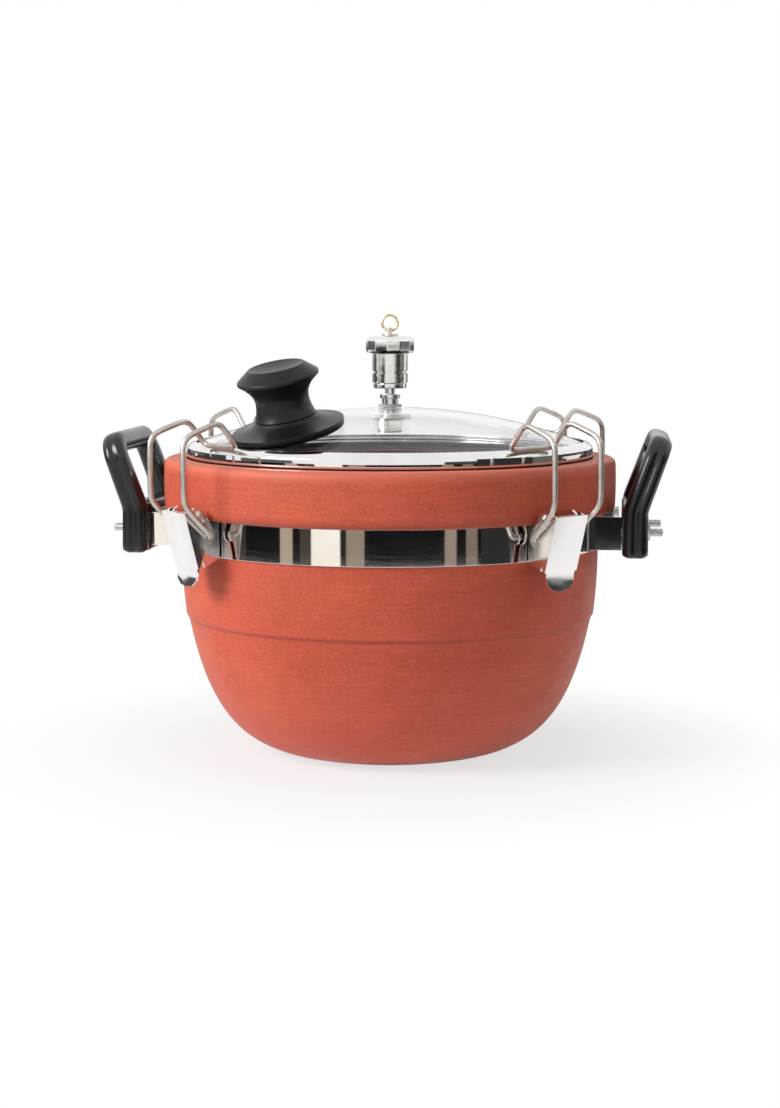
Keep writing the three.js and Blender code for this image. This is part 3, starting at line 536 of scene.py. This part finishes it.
def polished_steel():
    """Bright rolled sheet, slightly wavy, with hairline scratches."""
    steel = Finish("polished_steel", Metallic=1.0)
    waves = steel.noise(38, 2)
    hairlines = steel.noise(60, 3, stretch=(1, 1, 30))
    steel.colour(steel.ramp(waves, (0.3, (0.78, 0.77, 0.75)), (0.7, (0.87, 0.86, 0.84))))
    steel.roughness(steel.spread(hairlines, 0.035, 0.07))
    steel.bump(waves, 0.03 * MM)
    return steel.material


def pressed_steel():
    """Pressed sheet with a soft grain from rolling and a few dull patches."""
    steel = Finish("pressed_steel", Metallic=1.0)
    patches = steel.noise(70, 3)
    grain = steel.noise(500, 3, stretch=(1, 1, 0.15))
    steel.colour(steel.ramp(patches, (0.3, (0.84, 0.81, 0.8)), (0.7, (0.95, 0.93, 0.92))))
    steel.roughness(steel.spread(patches, 0.09, 0.17))
    steel.bump(grain, 0.012 * MM)
    return steel.material


def satin_steel():
    """Drawn wire and plain fasteners, duller and a little warm."""
    steel = Finish("satin_steel", Metallic=1.0)
    stains = steel.noise(120, 4)
    drawing = steel.noise(800, 3, stretch=(1, 1, 0.12))
    steel.colour(steel.ramp(stains, (0.3, (0.44, 0.41, 0.37)), (0.7, (0.64, 0.6, 0.55))))
    steel.roughness(steel.spread(drawing, 0.28, 0.4))
    steel.bump(drawing, 0.02 * MM)
    return steel.material


def threaded_steel():
    """Plated bolt steel with small dull stains and fine pits."""
    steel = Finish("threaded_steel", Metallic=1.0)
    stains = steel.noise(160, 3)
    steel.colour(steel.ramp(stains, (0.3, (0.62, 0.61, 0.59)), (0.7, (0.86, 0.85, 0.82))))
    steel.roughness(steel.spread(stains, 0.2, 0.34))
    steel.bump(steel.noise(1200, 2), 0.01 * MM)
    return steel.material


def turned_chrome():
    """Bright chrome with fine marks left by turning."""
    chrome = Finish("turned_chrome", Metallic=1.0)
    marks = chrome.noise(90, 4, stretch=(1, 1, 40))
    chrome.colour(chrome.ramp(marks, (0.3, (0.74, 0.72, 0.68)), (0.7, (0.92, 0.9, 0.86))))
    chrome.roughness(chrome.spread(marks, 0.1, 0.2))
    chrome.bump(marks, 0.03 * MM)
    return chrome.material


def brass():
    """Bent brass wire with darker tarnish."""
    metal = Finish("brass", Metallic=1.0)
    tarnish = metal.noise(420, 4)
    metal.colour(metal.ramp(tarnish, (0.3, (0.56, 0.42, 0.2)), (0.7, (0.86, 0.7, 0.4))))
    metal.roughness(metal.spread(tarnish, 0.2, 0.38))
    return metal.material


def black_plastic(name, gloss, grain, shine):
    """Moulded black plastic with faint flow marks and surface grain."""
    plastic = Finish(name, Specular_IOR_Level=shine)
    flow = plastic.noise(34, 4)
    fine = plastic.noise(1500, 2)
    plastic.colour(plastic.ramp(flow, (0.3, (0.006, 0.006, 0.007)), (0.75, (0.014, 0.014, 0.015))))
    plastic.roughness(plastic.spread(flow, gloss, gloss + 0.1))
    plastic.bump(fine, grain)
    return plastic.material


def black_rubber():
    """Matt seal rubber with a dusty bloom."""
    rubber = Finish("black_rubber", Specular_IOR_Level=0.35)
    bloom = rubber.noise(180, 4)
    rubber.colour(rubber.ramp(bloom, (0.35, (0.012, 0.011, 0.011)), (0.75, (0.035, 0.033, 0.031))))
    rubber.roughness(rubber.spread(bloom, 0.55, 0.75))
    rubber.bump(bloom, 0.05 * MM)
    return rubber.material


def silicone():
    """Milky seal that lets some light through."""
    seal = Finish("silicone", Transmission_Weight=0.35, IOR=1.42)
    milk = seal.noise(150, 3)
    seal.colour(seal.ramp(milk, (0.3, (0.72, 0.73, 0.72)), (0.7, (0.85, 0.86, 0.85))))
    seal.roughness(seal.spread(milk, 0.35, 0.5))
    return seal.material


def lid_glass():
    """Clear tempered glass with faint wash marks that lets shadow rays pass."""
    glass = Finish("lid_glass", Transmission_Weight=1.0, IOR=1.1)
    marks = glass.noise(24, 5)
    glass.colour(glass.ramp(marks, (0.3, (0.985, 0.995, 0.99)), (0.7, (1.0, 1.0, 1.0))))
    glass.roughness(glass.spread(marks, 0.0, 0.02, 0.5, 0.8))
    clear = glass.add("ShaderNodeBsdfTransparent")
    clear.inputs["Color"].default_value = (0.88, 0.9, 0.89, 1)
    path = glass.add("ShaderNodeLightPath")
    mixed = glass.add("ShaderNodeMixShader")
    glass.join(path.outputs["Is Shadow Ray"], mixed.inputs["Fac"])
    glass.join(glass.shader.outputs["BSDF"], mixed.inputs[1])
    glass.join(clear.outputs["BSDF"], mixed.inputs[2])
    glass.join(mixed.outputs["Shader"], glass.tree.nodes["Material Output"].inputs["Surface"])
    return glass.material


CLAY = terracotta()
INSIDE_PAINTED_SHADE = painted_shade_clay()
POLISHED = polished_steel()
PRESSED = pressed_steel()
SATIN = satin_steel()
THREADED = threaded_steel()
CHROME = turned_chrome()
BRASS = brass()
HANDLE_BLACK = black_plastic("handle_black", 0.16, 0.006 * MM, 0.5)
KNOB_BLACK = black_plastic("knob_black", 0.3, 0.03 * MM, 0.28)
RUBBER = black_rubber()
SILICONE = silicone()
GLASS = lid_glass()


# Pieces

def pot_and_band():
    """The uneven clay pot, its inside below the lid's gasket painted dark as shade, and the steel band."""
    pot = turned("clay_pot", CLAY, LATHE_SIDES, CLAY_EDGE)
    pot.data.materials.append(INSIDE_PAINTED_SHADE)
    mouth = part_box("lid_gasket")[0]
    # Inside wall and floor faces below the gasket take the painted shade material
    for face in pot.data.polygons:
        radius = face.center.xy.length
        wall = face.normal.xy.dot(face.center.xy) < -RING_TOLERANCE * radius
        bottom = face.normal.z > 0 and radius < -mouth.x - INSIDE_EDGE
        if (wall or bottom) and FOOT_HEIGHT < face.center.z < mouth.z:
            face.material_index = 1
    wobble = bpy.data.textures.new("hand_thrown", "CLOUDS")
    wobble.noise_scale = WOBBLE_SIZE
    uneven = pot.modifiers.new("uneven", "DISPLACE")
    uneven.texture = wobble
    uneven.texture_coords = "LOCAL"
    uneven.strength = 2 * CLAY_WOBBLE
    turned("clamp_band", POLISHED, LATHE_SIDES, BAND_EDGE)


def dome_profile():
    """The glass dome's inner and outer arcs, from the CAD dome's edge and crown."""
    mesh = welded("lid_glass")
    points = [Vector((v.co.xy.length, v.co.z)) for v in mesh.verts]
    mesh.free()
    edge = max(p.x for p in points)
    high_edge = max((p for p in points if p.x > edge - RING_TOLERANCE), key=lambda p: p.y)
    low_edge = min((p for p in points if p.x > edge - RING_TOLERANCE), key=lambda p: p.y)
    crown = max(points, key=lambda p: p.y)
    centre = (crown.length_squared - high_edge.length_squared) / (2 * (crown.y - high_edge.y))
    hole = min(p.x for p in points)

    def arc(start, end, radius):
        first, last = (math.asin(x / radius) for x in (start, end))
        angles = [first + (last - first) * k / GLASS_STEPS for k in range(GLASS_STEPS + 1)]
        return [Vector((radius * math.sin(a), centre + radius * math.cos(a))) for a in angles]

    outer = (high_edge - Vector((0, centre))).length
    inner = (low_edge - Vector((0, centre))).length
    return arc(hole, edge, inner) + arc(edge, hole, outer)


def rim_edge_profile():
    """The rim's turned-down edge, bulged sheet from the rim's side to just above the collar."""
    mesh = welded("lid_rim")
    outer = max(v.co.xy.length for v in mesh.verts)
    top = max(v.co.z for v in mesh.verts if v.co.xy.length > outer - RING_TOLERANCE)
    mesh.free()
    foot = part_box("clay_pot")[1].z + RIM_EDGE_LIFT
    inner = outer + RIM_EDGE_GAP
    profile = [Vector((inner, top)), Vector((inner, foot))]
    for k in range(RIM_EDGE_STEPS + 1):
        rise = k / RIM_EDGE_STEPS
        sag = RIM_EDGE_SAG * (2 * rise - 1) ** 2
        profile.append(Vector((outer + RIM_EDGE_SHEET - sag, foot + (top - foot) * rise)))
    return profile


def lid():
    """The glass dome, its rim with the turned-down edge, and its gasket."""
    glass = revolve("lid_glass_dome", dome_profile(), True, LATHE_SIDES)
    soften_edges(glass, SOFT_EDGE)
    dress(stand_for(glass, "lid_glass"), GLASS)
    turned("lid_rim", POLISHED, LATHE_SIDES)
    turned("lid_gasket", RUBBER, LATHE_SIDES, SOFT_EDGE)
    edge = revolve("lid_rim_edge", rim_edge_profile(), True, LATHE_SIDES)
    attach(edge, BODY["lid_rim"])
    dress(edge, POLISHED)


def vent():
    """The steam pipe through the lid, its seals and its nut."""
    turned("vent_pipe", CHROME)
    turned("vent_upper_seal", SILICONE)
    turned("vent_lower_seal", SILICONE, edge=SEAL_EDGE)
    dressed_node("vent_nut", CHROME, NUT_EDGE)


def weight():
    """The steam weight and its brass lift ring."""
    turned("weight_base_ring", CHROME, edge=NUT_EDGE)
    dressed_node("weight_body", CHROME, HOLE_EDGE)
    dressed_node("weight_cap", CHROME, SOFT_EDGE, segments=3)
    dressed_node("weight_spindle", SATIN, SHEET_EDGE)
    low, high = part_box("lift_ring")
    centre = (low + high) / 2
    radius = (high.x - low.x) / 2 - RING_WIRE
    turns = [2 * math.pi * k / SMALL_SIDES for k in range(SMALL_SIDES)]
    circle = [centre + Vector((math.cos(a), 0, math.sin(a))) * radius for a in turns]
    dress(stand_for(tube("lift_ring_wire", circle, RING_WIRE, True), "lift_ring"), BRASS)


def knob():
    """The lid's knob with its washer and screw."""
    turned("knob_skirt", KNOB_BLACK, LATHE_SIDES // 2, SOFT_EDGE)
    turned("knob_grip", KNOB_BLACK, LATHE_SIDES // 2, GRIP_EDGE)
    turned("knob_washer", SILICONE)
    turned("knob_screw", SATIN)


def loop_line(low, high):
    """Points up the near leg of a handle, over its top bar and down the far leg, as (y, z)."""
    half = high.y - LEG_WIDTH / 2
    top = high.z - TOP_BAR / 2
    shoulder = top - LOOP_CORNER
    leg = [Vector((-half, z)) for z in np.arange(low.z, shoulder, LOOP_STEP)]
    bend = Vector((LOOP_CORNER - half, shoulder))
    turns = np.linspace(0, math.pi / 2, LOOP_CORNER_STEPS)
    corner = [bend + LOOP_CORNER * Vector((-math.cos(a), math.sin(a))) for a in turns]
    near = leg + corner
    middle = [Vector((y, top)) for y in np.linspace(bend.x, -bend.x, TOP_BAR_STEPS)[1:-1]]
    far = [Vector((-p.x, p.y)) for p in reversed(near)]
    return near + middle + far


def leg_section(half_width, half_depth, groove):
    """A rounded leg's section, as (outward, sideways) points, with a groove on one side."""

    def squared(part):
        return math.copysign(abs(part) ** (2 / SECTION_SQUARENESS), part)

    points = []
    for k in range(SECTION_SIDES):
        turn = 2 * math.pi * k / SECTION_SIDES
        outward = half_width * squared(math.cos(turn))
        sideways = half_depth * squared(math.sin(turn))
        if outward > 0:
            outward -= groove * math.exp(-(sideways / GROOVE_WIDTH) ** 2)
        points.append((outward, sideways))
    return points


def handle_moulding():
    """The right handle: a swept loop that leans out above its elbow, and its bolted plate."""
    low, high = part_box("handle_right")
    elbow = low.z + ELBOW_RISE

    def bent(z):
        """How far a point leans out, and the slope there."""
        past = z - elbow
        if abs(past) < ELBOW_BEND:
            into = past + ELBOW_BEND
            return into**2 / (4 * ELBOW_BEND), into / (2 * ELBOW_BEND)
        return max(past, 0), float(past > 0)

    line = loop_line(low, high)
    start = low.x + FOOT_DEPTH / 2
    centres = [Vector((start + math.tan(HANDLE_LEAN) * bent(p.y)[0], p.x, p.y)) for p in line]
    mesh = bmesh.new()
    rings = []
    for i, centre in enumerate(centres):
        ahead = (centres[min(i + 1, len(centres) - 1)] - centres[max(i - 1, 0)]).normalized()
        lean = math.atan(math.tan(HANDLE_LEAN) * bent(centre.z)[1])
        sideways = Vector((math.cos(lean), 0, -math.sin(lean)))
        outward = sideways.cross(ahead)
        rise = (centre.z - low.z) / (high.z - low.z)
        level = abs(ahead.y)
        half_width = (LEG_WIDTH + (TOP_BAR - LEG_WIDTH) * level) / 2
        half_depth = (FOOT_DEPTH + (TIP_DEPTH - FOOT_DEPTH) * rise) / 2
        inset = max(0, FOOT_ROUND - (centre.z - low.z))
        drawn_in = FOOT_ROUND - math.sqrt(FOOT_ROUND**2 - inset**2)
        groove = GROOVE_DEPTH * (1 - level)
        section = leg_section(half_width - drawn_in, half_depth - drawn_in, groove)
        rings.append([mesh.verts.new(centre + outward * u + sideways * v) for u, v in section])
    for one, other in zip(rings, rings[1:]):
        for k in range(SECTION_SIDES):
            after = (k + 1) % SECTION_SIDES
            mesh.faces.new([one[k], one[after], other[after], other[k]])
    mesh.faces.new(rings[0])
    mesh.faces.new(rings[-1])

    reach = high.y - LEG_WIDTH + PLATE_OVERLAP
    size = Vector((PLATE_DEPTH, 2 * reach, ELBOW_RISE + PLATE_RISE))
    centre = Vector((low.x + PLATE_DEPTH / 2, 0, low.z + size.z / 2))
    place = Matrix.Translation(centre) @ Matrix.Diagonal((*size, 1))
    plate = bmesh.ops.create_cube(mesh, size=1, matrix=place)["verts"]
    edges = list(dict.fromkeys(e for v in plate for e in v.link_edges))
    bmesh.ops.bevel(
        mesh, geom=edges, offset=FOOT_ROUND, segments=PLATE_EDGE_STEPS, profile=0.5, affect="EDGES"
    )
    return mesh


def bolt(node):
    """A bolt with a thread cut into the free end of its shank."""
    place = symmetry_frame(node)
    profile, _ = turned_profile(node, place)
    spans = [(end - start).length for start, end in zip(profile, profile[1:])]
    tip_first = spans.index(max(spans)) == 1
    if tip_first:
        profile.reverse()
    *head, tip, middle = profile
    start = tip.lerp(head[-1], THREAD_RUN / (tip - head[-1]).length)
    count = round(THREAD_RUN / THREAD_PITCH * THREAD_RINGS)
    rings = [start.lerp(tip, k / count) for k in range(count + 1)]
    piece = revolve(node + "_turned", [*head, *rings, middle], False, BOLT_SIDES)
    mesh = bmesh.new()
    mesh.from_mesh(piece.data)
    for vertex in mesh.verts:
        radius = vertex.co.xy.length
        from_tip = abs(tip.y - vertex.co.z)
        if abs(radius - tip.x) < RING_TOLERANCE and from_tip < THREAD_RUN:
            turn = math.atan2(vertex.co.y, vertex.co.x) / (2 * math.pi)
            phase = (vertex.co.z / THREAD_PITCH - turn) % 1
            cut = THREAD_DEPTH * abs(2 * phase - 1) + max(0, TIP_CHAMFER - from_tip)
            vertex.co.xy *= (radius - cut) / radius
    for edge in mesh.edges:
        edge.smooth = edge.calc_face_angle(0) < math.radians(SHARP_DEGREES)
    mesh.transform(place)
    mesh.to_mesh(piece.data)
    mesh.free()
    dress(stand_for(piece, node), THREADED)


def handles():
    """Both side handles with their brackets, bolts and nuts."""
    for side, turn in zip(SIDES, (math.pi, 0)):
        dressed_node(f"handle_bracket_{side}", POLISHED, BRACKET_EDGE)
        mesh = handle_moulding()
        mesh.transform(Matrix.Rotation(turn, 4, "Z"))
        grip = new_piece(f"handle_{side}_moulding", mesh)
        dress(stand_for(grip, f"handle_{side}"), HANDLE_BLACK)
        for end in ENDS:
            bolt(f"handle_bolt_{side}_{end}")
            dressed_node(f"handle_nut_{side}_{end}", SATIN, NUT_EDGE)


def clamps():
    """The four draw clamps: base, lever, rivet and wire."""
    for corner in CORNERS:
        dressed_node(f"clamp_base_{corner}", PRESSED, SHEET_EDGE)
        dressed_node(f"clamp_lever_{corner}", PRESSED, SHEET_EDGE)
        turned(f"clamp_rivet_{corner}", SATIN, edge=BRACKET_EDGE)
        node = f"clamp_wire_{corner}"
        centres = rounded_line(rod_centres(node, JOINT[f"wire_{corner}"]), WIRE_ROUNDS)
        dress(stand_for(tube(node + "_rod", centres, WIRE_RADIUS), node), SATIN)


# Stage, light and camera

# The floor, which whitens with distance from the pot
FLOOR_SIZE = 8
FLOOR_SQUARES = 8
FLOOR_FADE_START = 0.11
FLOOR_FADE_END = 0.25
FLOOR_WHITE_NEAR = 0.69
# The two lamps and the sky
KEY_PLACE = (-1.55, -1.0, 1.0)
KEY_SIZE = 0.9
KEY_POWER = 36.5
FILL_PLACE = (1.5, -0.5, 0.7)
FILL_SIZE = 1.2
FILL_POWER = 2.4
SKY_STRENGTH = 0.335
# The low dark screen that the steel mirrors
SCREEN_RADIUS = 1.05
SCREEN_TOP = 0.105
SCREEN_LEVEL = 0.006
STRIP_STEP = 0.01
CARD_FACET = 5
# Tints of the cards and strips, paler on strips brighter than the bright level
NEUTRAL = (1, 1, 1)
WARM = (1, 0.79, 0.62)
BRIGHT_LEVEL = 0.8
BRIGHT_WARM = (1, 0.94, 0.84)
# Lit strips on the low dark screen: azimuth and width in degrees, and brightness
STRIPS = (
    (-78, 12, 0.05), (-47, 7, 0.5), (-37, 5, 0.07), (-26, 15, 1.1), (-11, 9, 0.34),
    (36, 6, 0.34), (47, 6, 0.24), (68, 8, 0.07),
    (125, 16, 0.9), (165, 6, 0.5), (-160, 14, 1.0), (-135, 5, 0.3),
)
# Dark cards that the clamps and the weight mirror: azimuth, width, radius, bottom, top, brightness
CARDS = (
    (62, 32, 0.35, 0, 0.32, 0.03),
    (-109, 34, 1.0, 0, 0.3, 0.06),
    (96, 34, 1.0, 0, 0.3, 0.14),
    (-63, 34, 1.03, SCREEN_TOP, 0.22, 0.12),
    (60, 52, 1.03, SCREEN_TOP, 0.22, 0.06),
    (160, 50, 1.03, SCREEN_TOP, 0.22, 0.1),
    (-150, 40, 1.03, SCREEN_TOP, 0.22, 0.1),
)


def seen_directly(finish):
    """One for rays that see a stage surface straight, through glass or in a mirror."""
    path = finish.add("ShaderNodeLightPath")
    total = path.outputs["Is Camera Ray"]
    for kind in ("Is Transmission Ray", "Is Glossy Ray"):
        seen = finish.add("ShaderNodeMath", operation="ADD", use_clamp=True)
        finish.join(total, seen.inputs[0])
        finish.join(path.outputs[kind], seen.inputs[1])
        total = seen.outputs["Value"]
    return total


def floor():
    """A pale floor that is seen as white away from the pot and keeps its shadow."""
    mesh = bmesh.new()
    bmesh.ops.create_grid(
        mesh, x_segments=FLOOR_SQUARES, y_segments=FLOOR_SQUARES, size=FLOOR_SIZE / 2
    )
    plane = new_piece("floor", mesh)
    ground = Finish("floor_white", Roughness=0.9, Specular_IOR_Level=0.1)
    mottle = ground.noise(3, 2)
    ground.colour(ground.ramp(mottle, (0.3, (0.88, 0.88, 0.88)), (0.7, (0.9, 0.9, 0.9))))
    distance = ground.add("ShaderNodeVectorMath", operation="LENGTH")
    ground.join(ground.place, distance.inputs[0])
    away = distance.outputs["Value"]
    whiteness = ground.spread(away, FLOOR_WHITE_NEAR, 1, FLOOR_FADE_START, FLOOR_FADE_END)
    share = ground.add("ShaderNodeMath", operation="MULTIPLY")
    ground.join(whiteness, share.inputs[0])
    ground.join(seen_directly(ground), share.inputs[1])
    white = ground.add("ShaderNodeEmission")
    mixed = ground.add("ShaderNodeMixShader")
    ground.join(share.outputs["Value"], mixed.inputs["Fac"])
    ground.join(ground.shader.outputs["BSDF"], mixed.inputs[1])
    ground.join(white.outputs["Emission"], mixed.inputs[2])
    ground.join(mixed.outputs["Shader"], ground.tree.nodes["Material Output"].inputs["Surface"])
    dress(plane, ground.material)


def screen_part(name, azimuth, width, radius, bottom, top, level, tint=NEUTRAL):
    """An upright curved card round the object that only mirrors see."""
    mesh = bmesh.new()
    count = max(2, round(width / CARD_FACET))
    turns = [math.radians(azimuth + width * (k / count - 0.5)) for k in range(count + 1)]
    feet = [Vector((radius * math.sin(a), -radius * math.cos(a), bottom)) for a in turns]
    low = [mesh.verts.new(foot) for foot in feet]
    high = [mesh.verts.new(foot + Vector((0, 0, top - bottom))) for foot in feet]
    for k in range(count):
        mesh.faces.new([low[k], low[k + 1], high[k + 1], high[k]])
    card = new_piece(name, mesh)
    for ray in ("camera", "diffuse", "transmission", "shadow", "volume_scatter"):
        setattr(card, "visible_" + ray, False)
    glow = Finish(name)
    light = glow.add("ShaderNodeEmission")
    light.inputs["Color"].default_value = (*tint, 1)
    light.inputs["Strength"].default_value = level
    glow.join(light.outputs["Emission"], glow.tree.nodes["Material Output"].inputs["Surface"])
    dress(card, glow.material)


def screen():
    """The low dark screen, its lit strips and the dark cards."""
    screen_part("screen", 0, 360, SCREEN_RADIUS, 0, SCREEN_TOP, SCREEN_LEVEL)
    for k, (azimuth, width, level) in enumerate(STRIPS):
        tint = BRIGHT_WARM if level > BRIGHT_LEVEL else WARM
        radius = SCREEN_RADIUS - STRIP_STEP
        screen_part(f"screen_strip_{k}", azimuth, width, radius, 0, SCREEN_TOP, level, tint)
    for k, card in enumerate(CARDS):
        screen_part(f"screen_card_{k}", *card)


def lamp(name, place, size, power):
    """A soft square lamp that faces the object."""
    light = bpy.data.lights.new(name, "AREA")
    light.size = size
    light.energy = power
    lamp_object = bpy.data.objects.new(name, light)
    lamp_object.location = place
    aim = Vector((0, 0, AIM_HEIGHT)) - Vector(place)
    lamp_object.rotation_euler = aim.to_track_quat("-Z", "Y").to_euler()
    bpy.context.scene.collection.objects.link(lamp_object)


def sky():
    """White where it is seen or mirrored, and a plain soft light on matt things."""
    world = bpy.data.worlds.new("studio")
    bpy.context.scene.world = world
    world.use_nodes = True
    tree = world.node_tree
    soft = tree.nodes["Background"]
    soft.inputs["Color"].default_value = (1, 1, 1, 1)
    soft.inputs["Strength"].default_value = SKY_STRENGTH
    white = tree.nodes.new("ShaderNodeBackground")
    white.inputs["Color"].default_value = (1, 1, 1, 1)
    path = tree.nodes.new("ShaderNodeLightPath")
    matt = path.outputs["Is Diffuse Ray"]
    final = tree.nodes.new("ShaderNodeMixShader")
    tree.links.new(matt, final.inputs["Fac"])
    tree.links.new(white.outputs["Background"], final.inputs[1])
    tree.links.new(soft.outputs["Background"], final.inputs[2])
    tree.links.new(final.outputs["Shader"], tree.nodes["World Output"].inputs["Surface"])


def camera():
    """A camera where the photograph was taken from."""
    data = bpy.data.cameras.new("photo_camera")
    data.sensor_width = SENSOR_MM
    data.lens = FOCAL_PIXELS * SENSOR_MM / PHOTO_HEIGHT
    viewer = bpy.data.objects.new("photo_camera", data)
    turn = math.radians(CAMERA_AZIMUTH)
    level = CAMERA_DISTANCE * Vector((math.sin(turn), -math.cos(turn), 0))
    viewer.location = level + Vector((0, 0, CAMERA_HEIGHT))
    aim = Vector((0, 0, AIM_HEIGHT)) - viewer.location
    viewer.rotation_euler = aim.to_track_quat("-Z", "Y").to_euler()
    bpy.context.scene.collection.objects.link(viewer)
    bpy.context.scene.camera = viewer


pot_and_band()
lid()
vent()
weight()
knob()
handles()
clamps()
floor()
screen()
lamp("key", KEY_PLACE, KEY_SIZE, KEY_POWER)
lamp("fill", FILL_PLACE, FILL_SIZE, FILL_POWER)
sky()
camera()
bpy.context.scene.view_settings.view_transform = "Standard"
